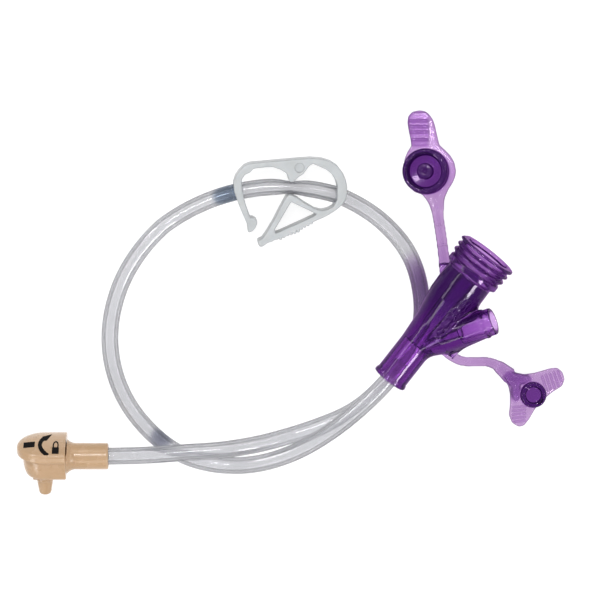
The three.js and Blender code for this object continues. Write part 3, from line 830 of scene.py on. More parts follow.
# ---------------------------------------------------------------- the tube's path
TUBE_R, BORE_R = 1.86, 1.1
ARC_Z = 4.35
ARC_CENTRE, ARC_R = np.array([-2.37, -17.6]), 43.2
ARC_FROM, ARC_TO, ARC_STEP = 73, 127, 3                # degrees around the arc
JAW_DEG, RIGHT_WALL_DEG, LEFT_WALL_DEG = 87.1, 70.6, 104.3
FINE = 0.1                                             # spacing of the path's samples

# x, y, z from the lock connector to the arc under the clamp
RUN_IN = [
    [-43.29, -33.69, 5.2], [-40.2, -33.69, 5.2], [-36.5, -33.62, 5.32],
    [-31.18, -33.44, 5.75], [-26.9, -33.12, 5.9], [-22.65, -32.8, 5.92],
    [-19.37, -32.65, 5.92], [-16.34, -32.47, 5.9], [-13.47, -32.12, 5.75],
    [-10.81, -31.68, 5.2], [-8.28, -31.24, 4.3], [-5.88, -30.87, 3.35],
    [-3.58, -30.14, 2.5], [-1.31, -29.6, 2.0], [0.89, -28.95, 1.9], [3.05, -28.27, 1.9],
    [5.22, -27.5, 1.9], [7.32, -26.7, 1.9], [9.6, -25.85, 1.9], [11.87, -24.88, 1.9],
    [14.07, -23.6, 1.9], [16.14, -22.1, 1.9], [18.43, -20.02, 1.9], [21.18, -17.1, 1.9],
    [24.25, -13.3, 1.9], [27.0, -9.0, 1.9], [28.6, -4.84, 1.9], [28.88, -0.88, 1.9],
    [28.6, 1.98, 2.0], [28.04, 5.2, 2.25], [27.16, 8.29, 2.65], [25.84, 11.07, 3.1],
    [24.17, 13.62, 3.55], [22.14, 15.88, 3.95], [19.99, 17.97, 4.2], [17.68, 19.82, 4.32],
    [15.19, 21.36, 4.35], [12.62, 22.68, 4.35]]
# x, y, z from the arc round to the Y adapter
RUN_OUT = [
    [-31.32, 14.06, 4.25], [-33.14, 12.01, 4.0], [-34.73, 9.72, 3.6], [-36.24, 7.3, 3.1],
    [-37.56, 4.75, 2.65], [-38.58, 2.02, 2.25], [-39.4, -0.81, 2.0], [-39.98, -3.74, 1.9],
    [-40.25, -6.75, 1.9], [-40.2, -9.79, 1.9], [-39.8, -12.8, 1.9], [-39.1, -15.8, 1.9],
    [-38.03, -18.72, 1.9], [-36.71, -21.54, 1.9], [-35.01, -24.13, 1.9],
    [-33.08, -26.55, 1.9], [-30.9, -28.84, 1.9], [-28.5, -30.95, 1.9], [-25.91, -32.75, 1.9],
    [-23.31, -33.99, 1.9], [-20.43, -34.95, 1.9], [-17.46, -35.6, 1.9], [-14.51, -35.92, 1.9],
    [-11.54, -35.95, 2.1], [-8.68, -35.7, 2.7], [-5.88, -35.16, 3.5], [-3.2, -34.38, 4.4],
    [-0.65, -33.44, 5.15], [1.79, -32.38, 5.6], [4.08, -31.13, 5.85], [6.3, -29.83, 6.0],
    [8.35, -28.42, 6.1], [10.37, -26.98, 6.25], [12.38, -25.45, 6.5], [14.22, -23.85, 6.8],
    [16.11, -22.14, 7.08], [17.96, -20.4, 7.35], [19.85, -18.5, 7.62], [21.39, -16.74, 7.9],
    [24.25, -13.05, 8.68]]


def arc_point(degrees):
    angle = math.radians(degrees)
    return [ARC_CENTRE[0] + ARC_R * math.cos(angle),
            ARC_CENTRE[1] + ARC_R * math.sin(angle), ARC_Z]


ARC = [arc_point(a) for a in np.arange(ARC_FROM, ARC_TO + 0.01, ARC_STEP)]
CURVE = centripetal(RUN_IN + ARC + RUN_OUT, per=24)
TRAVEL = np.r_[0, np.cumsum(np.linalg.norm(np.diff(CURVE, axis=0), axis=1))]
LENGTH = TRAVEL[-1]
STATIONS = np.arange(0, LENGTH, FINE)
ROUGH_PATH = np.stack([np.interp(STATIONS, TRAVEL, CURVE[:, i]) for i in range(3)], 1)


def station_near(x, y, start, end):
    """Station nearest to x, y, searched between two shares of the path's length."""
    first, last = int(start * (len(STATIONS) - 1)), int(end * (len(STATIONS) - 1))
    away = np.hypot(ROUGH_PATH[first:last, 0] - x, ROUGH_PATH[first:last, 1] - y)
    return float(STATIONS[first + int(np.argmin(away))])


FLEX = station_near(-16.89, -32.52, 0, 0.2)            # middle of the lead's bend
JAW = station_near(*arc_point(JAW_DEG)[:2], 0.35, 0.65)


def station_at(degrees):
    return JAW + math.radians(degrees - JAW_DEG) * ARC_R


def even_out(path, sigma, keep_from, keep_to, fade=8.0):
    """Takes small wiggles out of the path between its ends and the stretch from keep_from to
    keep_to, which stays as it is."""
    reach = int(4 * sigma / FINE)
    kernel = np.exp(-0.5 * (np.arange(-reach, reach + 1) * FINE / sigma) ** 2)
    kernel /= kernel.sum()
    padded = np.vstack([2 * path[0] - path[reach:0:-1], path,
                        2 * path[-1] - path[-2:-reach - 2:-1]])
    even = np.stack([np.convolve(padded[:, i], kernel, "valid") for i in range(3)], 1)
    share = smooth01(np.maximum((keep_from - STATIONS) / fade,
                                (STATIONS - keep_to) / fade))[:, None]
    return path * (1 - share) + even * share


PATH = even_out(ROUGH_PATH, sigma=2.6, keep_from=station_at(ARC_FROM) + 1.0,
                keep_to=station_at(ARC_TO) - 1.0)


def path_at(stations):
    return np.stack([np.interp(stations, STATIONS, PATH[:, i]) for i in range(3)], -1)


# ---------------------------------------------------------------- tube pieces
OUTER_SIDES, BORE_SIDES = 40, 28
RING = OUTER_SIDES + BORE_SIDES     # vertices in one cross-section


def dented(points, stations):
    """Flattens the tube where the jaws hold it."""
    dx, dy = points[:, 0] - ARC_CENTRE[0], points[:, 1] - ARC_CENTRE[1]
    radius = np.hypot(dx, dy)
    shape = np.exp(-((stations - JAW) / 2.6) ** 2)
    squeeze = 0.22 * shape
    new_radius = ARC_R - 0.1 * squeeze / 0.22 + (radius - ARC_R) * (1 - squeeze)
    return np.stack([ARC_CENTRE[0] + dx / radius * new_radius,
                     ARC_CENTRE[1] + dy / radius * new_radius,
                     ARC_Z + (points[:, 2] - ARC_Z) * (1 + 0.3 * squeeze)], 1)


def end_faces(base, flip):
    """Triangles between the outer and the inner circle of one end."""
    faces = []
    a = b = 0
    while a < OUTER_SIDES or b < BORE_SIDES:
        outer = base + a % OUTER_SIDES
        inner = base + OUTER_SIDES + b % BORE_SIDES
        step_outer = (a + 0.5) / OUTER_SIDES <= (b + 0.5) / BORE_SIDES
        if b >= BORE_SIDES or (a < OUTER_SIDES and step_outer):
            face = (outer, base + (a + 1) % OUTER_SIDES, inner)
            a += 1
        else:
            face = (outer, base + OUTER_SIDES + (b + 1) % BORE_SIDES, inner)
            b += 1
        faces.append(face[::-1] if flip else face)
    return faces


def tube_mesh(name, start, end, step=0.5, dent=False, seam_start=True, seam_end=True):
    """A length of tube with its bore. Returns the object and each vertex's station."""
    spans = max(3, int(math.ceil((end - start) / step)))
    stations = np.linspace(start, end, spans + 1)
    centres = path_at(stations)
    heading = (path_at(np.minimum(stations + 0.4, LENGTH))
               - path_at(np.maximum(stations - 0.4, 0)))
    heading /= np.linalg.norm(heading, axis=1)[:, None]
    side = np.stack([-heading[:, 1], heading[:, 0], np.zeros(len(heading))], 1)
    side /= np.linalg.norm(side, axis=1)[:, None]
    up = np.cross(heading, side)
    circles = []
    for radius, sides in ((TUBE_R, OUTER_SIDES), (BORE_R, BORE_SIDES)):
        angle = (2 * np.pi * np.arange(sides) / sides)[None, :, None]
        circles.append(centres[:, None] + radius * (np.cos(angle) * side[:, None]
                                                    + np.sin(angle) * up[:, None]))
    points = np.concatenate(circles, 1).reshape(-1, 3)
    vertex_stations = np.repeat(stations, RING)
    if dent:
        points = dented(points, vertex_stations)
    base = np.arange(spans)[:, None] * RING
    outer = np.arange(OUTER_SIDES)[None]
    outer_next = (outer + 1) % OUTER_SIDES
    inner = np.arange(BORE_SIDES)[None]
    inner_next = OUTER_SIDES + (inner + 1) % BORE_SIDES
    inner = OUTER_SIDES + inner
    outer_wall = np.stack([base + outer, base + outer_next,
                           base + RING + outer_next, base + RING + outer], -1)
    bore_wall = np.stack([base + inner, base + RING + inner,
                          base + RING + inner_next, base + inner_next], -1)
    walls = outer_wall.reshape(-1, 4).tolist() + bore_wall.reshape(-1, 4).tolist()
    starts, ends = end_faces(0, True), end_faces(spans * RING, False)
    indices = ([0] * len(walls) + [int(seam_start)] * len(starts)
               + [int(seam_end)] * len(ends))
    ob = make_mesh(name, points, walls + starts + ends, [TUBE, SEAM], indices)
    return ob, vertex_stations


GAP = 0.01                                # half of the slit between two tube pieces
LEAD_END = FLEX + 14.0
RIGHT_WALL, LEFT_WALL = station_at(RIGHT_WALL_DEG), station_at(LEFT_WALL_DEG)
RUN_IN_START = RIGHT_WALL - 30.0
RUN_OUT_END = LEFT_WALL + 17.0

ob, along = tube_mesh("feed_tube_lead_bend", 0.02, LEAD_END - GAP, seam_start=False)
set_weights(ob)
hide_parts("feed_tube_lead")

ob, along = tube_mesh("feed_tube_loop", LEAD_END + GAP, RUN_IN_START - GAP)
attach(ob, "set_body")
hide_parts("feed_tube_coil")

ob, along = tube_mesh("feed_tube_run_in", RUN_IN_START + GAP, RIGHT_WALL - GAP)
set_weights(ob)

ob, along = tube_mesh("feed_tube_under_jaws", RIGHT_WALL + GAP, LEFT_WALL - GAP,
                      step=0.35, dent=True)
from_arc = np.hypot(*(mm_of(ob)[:, :2] - ARC_CENTRE).T) - ARC_R
set_weights(ob)
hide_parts("feed_tube_pinch_zone")

ob, along = tube_mesh("feed_tube_run_out", LEFT_WALL + GAP, RUN_OUT_END - GAP)
set_weights(ob)

ob, along = tube_mesh("feed_tube_return", RUN_OUT_END + GAP, LENGTH - 0.05, seam_end=False)
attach(ob, "set_body")
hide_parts("feed_tube_tail")

# ---------------------------------------------------------------- lock connector
# Lock frame: x along the barrel, z along the dome's axis, tilted about X.
LOCK_TILT = math.radians(65.2)
DOME_R = 6.0
LOCK_ORIGIN = np.array([-54.4, -32.78, DOME_R * math.sin(LOCK_TILT) + 0.2])
TILT_COS, TILT_SIN = math.cos(-LOCK_TILT), math.sin(-LOCK_TILT)
HEAD_END = 4.8                   # x where the head ends and the barrel starts

# [radius, height] pairs, bottom up; the barrel's heights run along x
COVER_PROFILE = [
    [0, 0], [5.72, 0], [5.95, 0.12], [DOME_R, 0.35], [DOME_R, 1.4], [5.9, 1.72], [5.68, 2.0],
    [5.2, 2.3], [4.2, 2.66], [2.8, 2.98], [1.4, 3.15], [0, 3.2]]
DOME_TOP = np.array(COVER_PROFILE[4:])[::-1]
cover_table = turned_table(COVER_PROFILE, 0.12)
body_table = turned_table([
    [0, -5], [3.45, -5], [3.85, -4.85], [4.15, -4.45], [4.42, -3.6], [4.55, -2.8],
    [4.66, -1.6], [4.7, -0.25], [0, -0.25]], 0.12)
barrel_table = turned_table([
    [0, 1.5], [3.7, 1.5], [3.7, HEAD_END + 0.35], [3.4, HEAD_END + 0.65],
    [3.08, HEAD_END + 1.15], [2.9, HEAD_END + 1.8], [2.9, 13.8], [2.78, 14.02],
    [2.6, 14.08], [0, 14.08]], 0.08)
stem_table = turned_table([
    [0, -10.05], [0.92, -10.05], [1.2, -9.88], [1.36, -9.5], [1.78, -6.65], [1.98, -6.4],
    [2.02, -6.2], [2.02, -5.2], [0, -5.2]], 0.1)
BARREL_Z = -1.0                  # height of the barrel's axis
TUBE_SOCKET_R, TUBE_SOCKET_FLOOR = 2.15, 9.0
BORE_IN_BARREL_R, BORE_IN_BARREL_START = 0.95, -0.9
BORE_IN_BODY_R, BORE_IN_STEM_R = 0.85, 0.72
LUG_CENTRE, LUG_HALF, LUG_ROUND = (-2.0, 0.0, -5.85), (0.5, 0.6, 0.58), 0.08
STEM_TOP = -5.14


def lock_local(x, y, z):
    x, y, z = x - LOCK_ORIGIN[0], y - LOCK_ORIGIN[1], z - LOCK_ORIGIN[2]
    return x, y * TILT_COS + z * TILT_SIN, -y * TILT_SIN + z * TILT_COS


def lock_world(points):
    x, y, z = points[..., 0], points[..., 1], points[..., 2]
    return np.stack([x, y * TILT_COS - z * TILT_SIN, y * TILT_SIN + z * TILT_COS],
                    -1) + LOCK_ORIGIN


def head_radius(x, y):
    """Round towards -x and straight-sided towards +x."""
    return np.hypot(np.minimum(x, 0), y)


def cover_field(x, y, z):
    x, y, z = lock_local(x, y, z)
    return smax(cover_table(head_radius(x, y), z), x - HEAD_END, blend=0.1)


def body_field(x, y, z):
    x, y, z = lock_local(x, y, z)
    body = smax(body_table(head_radius(x, y), z), x - (HEAD_END + 0.02), blend=0.25)
    from_barrel = np.hypot(y, z - BARREL_Z)
    # under the cover the barrel stays below the body's top
    barrel = np.maximum(barrel_table(from_barrel, x),
                        np.where(x < HEAD_END - 0.06, z + 0.25, -9))
    solid = smin(body, barrel, blend=0.35)
    socket = np.maximum(from_barrel - TUBE_SOCKET_R, TUBE_SOCKET_FLOOR - x)
    solid = smax(solid, -socket, blend=0.12)
    bore = np.maximum(from_barrel - BORE_IN_BARREL_R, BORE_IN_BARREL_START - x)
    solid = np.maximum(solid, -bore)
    return np.maximum(solid, -np.maximum(np.hypot(x, y) - BORE_IN_BODY_R, z + 1.0))


def stem_field(x, y, z):
    x, y, z = lock_local(x, y, z)
    radius = np.hypot(x, y)
    a, b, c = (np.abs(value - centre) - half
               for value, centre, half in zip((x, y, z), LUG_CENTRE, LUG_HALF))
    outside = np.sqrt(np.maximum(a, 0) ** 2 + np.maximum(b, 0) ** 2 + np.maximum(c, 0) ** 2)
    lug = outside + np.minimum(np.maximum(np.maximum(a, b), c), 0) - LUG_ROUND
    solid = smin(stem_table(radius, z), lug, blend=0.3)
    solid = np.maximum(solid, z - STEM_TOP)
    return smax(solid, -(radius - BORE_IN_STEM_R), blend=0.08)


# name, field, box in mm, cell, the CAD piece it replaces
LOCK_PIECES = [
    ("lock_cover_dome", cover_field, [-61.0, -36.2, -0.5], [-48.9, -26.4, 13.2], 0.16,
     "lock_cover"),
    ("lock_body_and_barrel", body_field, [-59.6, -40.4, -0.3], [-39.8, -29.0, 11.0], 0.16,
     "lock_body"),
    ("lock_stem_nose", stem_field, [-57.2, -43.2, -0.3], [-52.0, -36.0, 6.6], 0.11,
     "lock_stem")]
for name, field, low, high, cell, replaced in LOCK_PIECES:
    ob = field_object(name, field, low, high, cell, [TAN])
    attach(ob, "connector_end")
    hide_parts(replaced)


# ---------------------------------------------------------------- print on the dome
INK_RISE, INK_SINK = 0.035, 0.09     # above and below the dome's skin


def dome_height(radius):
    return np.interp(radius, DOME_TOP[:, 0], DOME_TOP[:, 1])


def on_dome(plan_x, plan_y):
    """Lock-frame point on the dome that stands at a plan position, found by bisection."""
    x = plan_x - LOCK_ORIGIN[0]
    low, high = np.full(x.shape, -5.6), np.full(x.shape, 3.4)
    for _ in range(40):
        y = 0.5 * (low + high)
        plan = y * TILT_COS - dome_height(head_radius(x, y)) * TILT_SIN
        short = plan < (plan_y - LOCK_ORIGIN[1])
        low, high = np.where(short, y, low), np.where(short, high, y)
    y = 0.5 * (low + high)
    return np.stack([x, y, dome_height(head_radius(x, y))], -1)


def ink_patch(name, grid):
    """A grid of plan points (mm) laid on the dome, with a little thickness."""
    rows, columns = grid.shape[:2]
    skin = on_dome(grid[..., 0], grid[..., 1])
    top, bottom = skin.copy(), skin.copy()
    top[..., 2] += INK_RISE
    bottom[..., 2] -= INK_SINK
    points = lock_world(np.concatenate([top.reshape(-1, 3), bottom.reshape(-1, 3)]))
    below = rows * columns
    faces = []
    for i in range(rows - 1):
        for j in range(columns - 1):
            a, b = i * columns + j, (i + 1) * columns + j
            faces.append((a, b, b + 1, a + 1))
            faces.append((below + a + 1, below + b + 1, below + b, below + a))
    rim = ([j for j in range(columns)]
           + [i * columns + columns - 1 for i in range(1, rows)]
           + [(rows - 1) * columns + j for j in range(columns - 2, -1, -1)]
           + [i * columns for i in range(rows - 2, 0, -1)])
    for a, b in zip(rim, rim[1:] + rim[:1]):
        faces.append((a, b, below + b, below + a))
    ob = make_mesh(name, points, faces, [INK], smooth=False)
    with editing(ob.data) as bm:
        bmesh.ops.recalc_face_normals(bm, faces=bm.faces)
    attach(ob, "connector_end")


def quad_grid(corners, rows=8, columns=5):
    u = np.linspace(0, 1, rows)[:, None, None]
    v = np.linspace(0, 1, columns)[None, :, None]
    a, b, c, d = map(np.asarray, corners)
    return (1 - u) * (1 - v) * a + u * (1 - v) * b + u * v * c + (1 - u) * v * d


def ribbon(points, width, rows=28, columns=4):
    """Grid of a given width along a smooth curve through the points."""
    curve = centripetal(points, per=12)
    travel = np.r_[0, np.cumsum(np.linalg.norm(np.diff(curve, axis=0), axis=1))]
    even = np.linspace(0, travel[-1], rows)
    centre = np.stack([np.interp(even, travel, curve[:, i]) for i in range(2)], 1)
    heading = np.gradient(centre, axis=0)
    heading /= np.linalg.norm(heading, axis=1)[:, None]
    across = np.stack([heading[:, 1], -heading[:, 0]], 1)
    offsets = np.linspace(-0.5, 0.5, columns)[None, :, None] * width
    return centre[:, None] + offsets * across[:, None]


# x, y in plan
ink_patch("printed_bar", quad_grid([
    (-58.839, -30.668), (-56.287, -30.404), (-56.331, -31.526), (-58.795, -31.768)]))
ink_patch("printed_turn_arrow_arc", ribbon([
    (-53.273, -33.352), (-54.197, -32.648), (-54.945, -31.768), (-55.165, -30.932),
    (-54.901, -30.228), (-54.285, -29.7)], width=0.858))
ink_patch("printed_turn_arrow_head", quad_grid([
    (-54.813, -29.392), (-52.745, -28.908), (-53.713, -30.184), (-54.197, -30.228)],
    rows=9, columns=6))
ink_patch("printed_padlock_body", quad_grid([
    (-52.437, -31.592), (-50.941, -31.592), (-50.941, -32.956), (-52.437, -32.956)],
    rows=9, columns=7))
ink_patch("printed_padlock_shackle", ribbon([
    (-52.173, -31.68), (-52.195, -31.02), (-52.019, -30.602), (-51.689, -30.426),
    (-51.359, -30.602), (-51.183, -31.02), (-51.205, -31.68)], width=0.275, rows=30))

# ---------------------------------------------------------------- pinch clamp
# Clamp frame: the outline lies in x, y and the thickness runs along z.
CLAMP_CENTRE = np.array([-0.525, 25.87, 5.0])
CLAMP_TURN = np.array(Matrix.Rotation(math.radians(2), 3, "Y")
                      @ Matrix.Rotation(math.radians(5), 3, "X"))
CLAMP_HALF, CLAMP_EDGE = 4.0, 0.42       # half thickness and edge rounding
TOOTH_R = 0.36
# centre and half sizes (y, z) of the oval tube windows through the two uprights
WINDOWS = ((-11.6, -1.5, -0.4), (11.7, -1.8, -0.3))
WINDOW_Y, WINDOW_Z, WINDOW_DEPTH = 3.1, 2.75, 2.6
PIN_X, PIN_Y, PIN_R, PIN_DEPTH = 2.1, 4.1, 1.05, 0.3

# x, y of one closed outline, run in turn: the beam and bow outside, the lever, the bow and
# beam inside with the upper jaw, and the post and hook backwards
BEAM_OUTSIDE = [
    [-7.68, 5.19], [-7.17, 5.22], [-2.12, 5.67], [1.67, 6.02], [4.45, 6.23], [6.97, 6.07],
    [8.99, 5.47], [10.51, 4.46], [11.64, 2.94], [12.27, 1.43], [12.58, -0.09],
    [12.53, -1.86], [12.15, -3.12], [11.39, -4.13], [10.25, -5.14], [8.74, -6.15],
    [7.48, -6.81]]
LEVER = [
    [7.17, -6.96], [6.97, -7.03], [4.95, -7.92], [2.93, -8.93], [2.17, -9.43], [1.97, -9.84],
    [1.36, -9.74], [1.06, -10.27], [0.45, -10.16], [0.15, -10.67], [-0.5, -10.54],
    [-0.81, -11.05], [-1.46, -10.95], [-1.77, -11.45], [-2.42, -11.35], [-2.73, -11.81],
    [-3.43, -11.76], [-3.84, -12.21], [-4.65, -12.34], [-6.04, -13.27], [-6.67, -13.22],
    [-7.05, -12.34], [-6.97, -11.83], [-6.04, -11.45], [-5.15, -10.19], [-3.64, -7.66],
    [-2.12, -4.63], [-0.81, -2.28], [-0.23, -1.75], [0.45, -1.85], [0.91, -2.11],
    [1.67, -2.46], [2.93, -3.37], [5.46, -4.89], [6.75, -5.22]]
BEAM_INSIDE = [
    [7.07, -5.28], [8.3, -5.0], [9.5, -4.4], [10.35, -2.9], [10.42, 0.16], [10.0, 1.43],
    [9.24, 2.69], [7.98, 3.7], [6.21, 4.46], [5.08, 4.96], [4.19, 4.46], [2.93, 2.69],
    [1.92, 2.06], [1.29, 1.43], [0.86, 0.95], [0.03, 0.95], [-0.3, 1.43], [-0.56, 2.44],
    [-0.86, 2.94], [-2.12, 3.7], [-3.64, 4.21], [-5.15, 4.21], [-7.73, 3.9]]
POST = [
    [-7.98, 5.17], [-8.94, 5.01], [-9.95, 4.58], [-11.09, 3.45], [-11.97, 2.19],
    [-12.35, 0.67], [-12.22, -1.1], [-11.72, -2.61], [-10.96, -4.63], [-9.32, -8.42],
    [-9.19, -9.94], [-8.99, -10.19], [-8.13, -9.81], [-7.42, -8.93], [-7.1, -7.97],
    [-7.25, -7.29], [-8.13, -6.78], [-8.56, -6.91], [-8.94, -6.02], [-9.7, -3.88],
    [-10.08, -2.36], [-10.46, -0.59], [-10.58, 1.43], [-9.82, 2.56], [-8.81, 2.99],
    [-8.06, 3.75]]
LEVER_HOLE = [[0.28, -3.42], [5.85, -6.07], [5.2, -6.55], [-2.25, -9.95], [-3.2, -10.28],
              [-3.25, -9.47]]
clamp_table = Table2D(BEAM_OUTSIDE + LEVER + BEAM_INSIDE + POST[::-1], 0.11, pad=1.5,
                      holes=[LEVER_HOLE])


def clamp_local(x, y, z):
    return CLAMP_TURN.T @ np.stack([x - CLAMP_CENTRE[0], y - CLAMP_CENTRE[1],
                                    z - CLAMP_CENTRE[2]], 0)


def grip_teeth(count=10):
    """Centres of the fine grip teeth, found outwards from a line inside the lever's edge."""
    start, end = np.array(LEVER_HOLE[2]), np.array([-2.6, -10.1])
    run = end - start
    outward = unit([-run[1], run[0]])
    reach = np.arange(0.3, 2.6, 0.02)
    teeth = []
    for share in np.linspace(0.12, 1.0, count):
        foot = start + run * share
        values = clamp_table(foot[0] + outward[0] * reach, foot[1] + outward[1] * reach)
        teeth.append(foot + outward * (reach[np.argmax(values > 0)] - 0.02))
    return teeth


TEETH = grip_teeth()


def clamp_field(x, y, z):
    x, y, z = clamp_local(x, y, z)
    edge = clamp_table(x, y)
    for tooth_x, tooth_y in TEETH:
        edge = np.minimum(edge, np.hypot(x - tooth_x, y - tooth_y) - TOOTH_R)
    solid = slab(edge, np.abs(z) - CLAMP_HALF, CLAMP_EDGE)
    for centre_x, centre_y, centre_z in WINDOWS:
        oval = np.hypot((y - centre_y) / WINDOW_Y, (z - centre_z) / WINDOW_Z)
        hole = np.maximum((oval - 1) * WINDOW_Z, np.abs(x - centre_x) - WINDOW_DEPTH)
        solid = smax(solid, -hole, blend=0.25)
    # ejector-pin mark on the upper jaw's flank
    pin = np.maximum(np.hypot(x - PIN_X, y - PIN_Y) - PIN_R,
                     np.abs(z - CLAMP_HALF) - PIN_DEPTH)
    return smax(solid, -pin, blend=0.04)


def in_beam(point):
    x, y, _ = clamp_local(*point)
    return -6.2 < x < -3.6 and y > 2.4


def name_clamp(points):
    if clamp_local(*points.T)[0].max() < 0:
        return "clamp_post_and_hook"
    return "clamp_jaw_bow_and_lever"


ob = field_object("clamp_raw", clamp_field, [-13.6, 11.3, -0.4], [12.9, 33.2, 10.4], 0.15,
                  [WHITE, WHITE], rounds=4)
cut_open(ob, CLAMP_CENTRE + CLAMP_TURN @ np.array([-4.9, 4.8, 0.0]),
         CLAMP_TURN @ np.array([1.0, 0, 0]), in_beam, gap=2e-6)
parts = split_object(ob, name_clamp)

ob = parts["clamp_jaw_bow_and_lever"]
x, y, z = clamp_local(*mm_of(ob).T)
set_weights(ob)
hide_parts("clamp_frame", "clamp_lever")

ob = parts["clamp_post_and_hook"]
x, y, z = clamp_local(*mm_of(ob).T)
set_weights(ob)
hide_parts("clamp_post")

# ---------------------------------------------------------------- straps' centre lines
# x, y, z, level width, upright thickness, from the adapter to the cap
FEED_STATIONS = np.array([
    [34.9, 4.0, 9.9, 3.4, 2.4], [34.3, 5.1, 9.75, 3.0, 2.2], [33.85, 6.4, 9.45, 2.75, 2.1],
    [33.55, 7.9, 9.1, 2.6, 2.0], [33.41, 9.46, 8.5, 2.45, 1.8], [33.2, 11.66, 7.05, 2.4, 1.55],
    [32.88, 14.6, 5.1, 2.4, 1.3], [32.45, 17.9, 3.05, 2.4, 1.3], [32.25, 19.6, 2.05, 2.55, 1.3],
    [32.1, 21.2, 1.78, 2.9, 1.3], [31.6, 23.4, 1.68, 3.4, 1.2]])
MED_STATIONS = np.array([
    [31.5, -7.7, 8.5, 2.9, 2.2], [32.4, -9.0, 8.25, 2.6, 1.9], [33.2, -10.0, 8.0, 2.35, 1.65],
    [34.2, -10.95, 7.6, 2.2, 1.45], [35.3, -11.75, 7.05, 2.1, 1.32],
    [37.4, -12.75, 5.95, 2.05, 1.3], [40.5, -12.96, 4.4, 2.05, 1.3],
    [43.0, -12.97, 2.85, 2.05, 1.3], [45.0, -13.6, 1.4, 2.2, 1.3],
    [46.3, -14.5, 1.0, 2.7, 1.3], [48.0, -15.9, 0.95, 3.2, 1.2]])
FEED_POINTS, MED_POINTS = FEED_STATIONS[:, :3], MED_STATIONS[:, :3]


def cut_plane(points, span, share):
    """Point in a span of the centre line, and the span's direction."""
    start, end = points[span], points[span + 1]
    return start * (1 - share) + end * share, unit(end - start)


# where a strap parts into root, middle and cap: [(point, normal), ...]
FEED_CUTS = [cut_plane(FEED_POINTS, 3, 0.15), cut_plane(FEED_POINTS, 5, 0.3),
             cut_plane(FEED_POINTS, 6, 0.75)]
MED_CUTS = [cut_plane(MED_POINTS, 3, 0.15), cut_plane(MED_POINTS, 5, 0.3),
            cut_plane(MED_POINTS, 6, 0.8)]


def root_of(stations, cut):
    """The root's stretch of a strap: up to just past its first cut."""
    end = cut[0] + 0.3 * cut[1]
    return dense(np.vstack([stations[:4], np.r_[end, stations[3, 3:]]]))


FEED_LINE, MED_LINE = dense(FEED_STATIONS), dense(MED_STATIONS)
FEED_ROOT = root_of(FEED_STATIONS, FEED_CUTS[0])
MED_ROOT = root_of(MED_STATIONS, MED_CUTS[0])
CUT_GAP = 4e-6           # metres

# ---------------------------------------------------------------- Y adapter
MAIN_AXIS = Axis([21.39, -16.74, 7.9], plan=52.18, rise=9.5)
SIDE_AXIS = Axis([28.43, -9.24, 9.75], plan=19.0, rise=17.0)
# [radius, distance along the axis] pairs
main_table = turned_table([
    [0, 0], [3.86, 0], [3.96, 0.1], [3.96, 0.8], [3.72, 1.05], [3.72, 9.6], [4.15, 15.3],
    [5.4, 22.0], [5.55, 25.4], [5.45, 29.0], [5.75, 29.25], [6.3, 29.5], [6.35, 29.65],
    [6.35, 30.75], [6.25, 30.9], [5.75, 30.98], [5.7, 31.15], [6.1, 31.3], [6.12, 31.6],
    [6.45, 31.75], [6.62, 31.95], [6.62, 32.25], [6.35, 32.5], [6.05, 32.65], [6.05, 33.0],
    [6.4, 33.15], [6.7, 33.35], [6.7, 33.65], [6.45, 33.85], [6.15, 34.0], [6.15, 34.4],
    [6.5, 34.55], [6.85, 34.8], [6.85, 35.2], [6.7, 35.42], [6.4, 35.45], [0, 35.45]], 0.07)
side_table = turned_table([
    [0, 0], [2.8, 0], [3.55, 5], [3.45, 10.5], [3.12, 14.6], [3.28, 14.9], [3.28, 15.3],
    [3.02, 15.6], [3.02, 16.9], [2.85, 17.2], [0, 17.2]], 0.09)
# hollows along each axis
MAIN_HOLLOWS = [
    turned_table([[0, -3], [2.3, -3], [2.3, 0.2], [2.12, 0.6], [2.08, 10.0], [0, 10.0]], 0.06),
    turned_table([[0, 9.4], [1.3, 9.4], [1.3, 15.0], [1.45, 15.2], [1.85, 34], [0, 34]], 0.05),
    # ring-shaped cup with its floor around the funnel
    Table2D([[2.6, 28.6], [5.05, 28.6], [5.05, 35.1], [5.25, 35.6], [5.25, 39], [-5.25, 39],
             [-5.25, 30.9], [2.25, 30.9], [2.5, 30.6]], 0.07)]
SIDE_HOLLOWS = [
    turned_table([[0, 9.2], [1.9, 9.2], [2.2, 17.0], [2.4, 17.5], [2.4, 20], [0, 20]], 0.05),
    turned_table([[0, 0.6], [0.9, 0.6], [0.9, 9.8], [0, 9.8]], 0.05)]
WELD_START, WELD_END = (32.373, -6.358), (37.675, -0.11)      # x, y
BEAD_RADII = (0.78, 0.62, 0.82, 0.62, 0.72, 0.54, 0.62, 0.5, 0.44)


def cones(x, y, z):
    """The main cone and the side branch, run into one another."""
    return smin(main_table(*MAIN_AXIS.turned(x, y, z)),
                side_table(*SIDE_AXIS.turned(x, y, z)), blend=1.1)


def bead_z(x, y):
    """Height of a bead's centre, just under the top of the cones."""
    heights = np.arange(18.0, 6.0, -0.02)
    values = cones(np.full(heights.shape, x), np.full(heights.shape, y), heights)
    return float(heights[np.argmax(values < 0)]) - 0.12


# x, y, z, radius of the beads of the weld line where cone and branch meet, on top
BEADS = [(float(x), float(y), bead_z(x, y), radius) for x, y, radius in
         zip(*np.linspace(WELD_START, WELD_END, len(BEAD_RADII)).T, BEAD_RADII)]


def beaded_cones(x, y, z):
    solid = cones(x, y, z)
    for bead_x, bead_y, height, radius in BEADS:
        ball = np.sqrt((x - bead_x) ** 2 + (y - bead_y) ** 2 + (z - height) ** 2) - radius
        solid = smin(solid, ball, blend=0.1)
    return solid


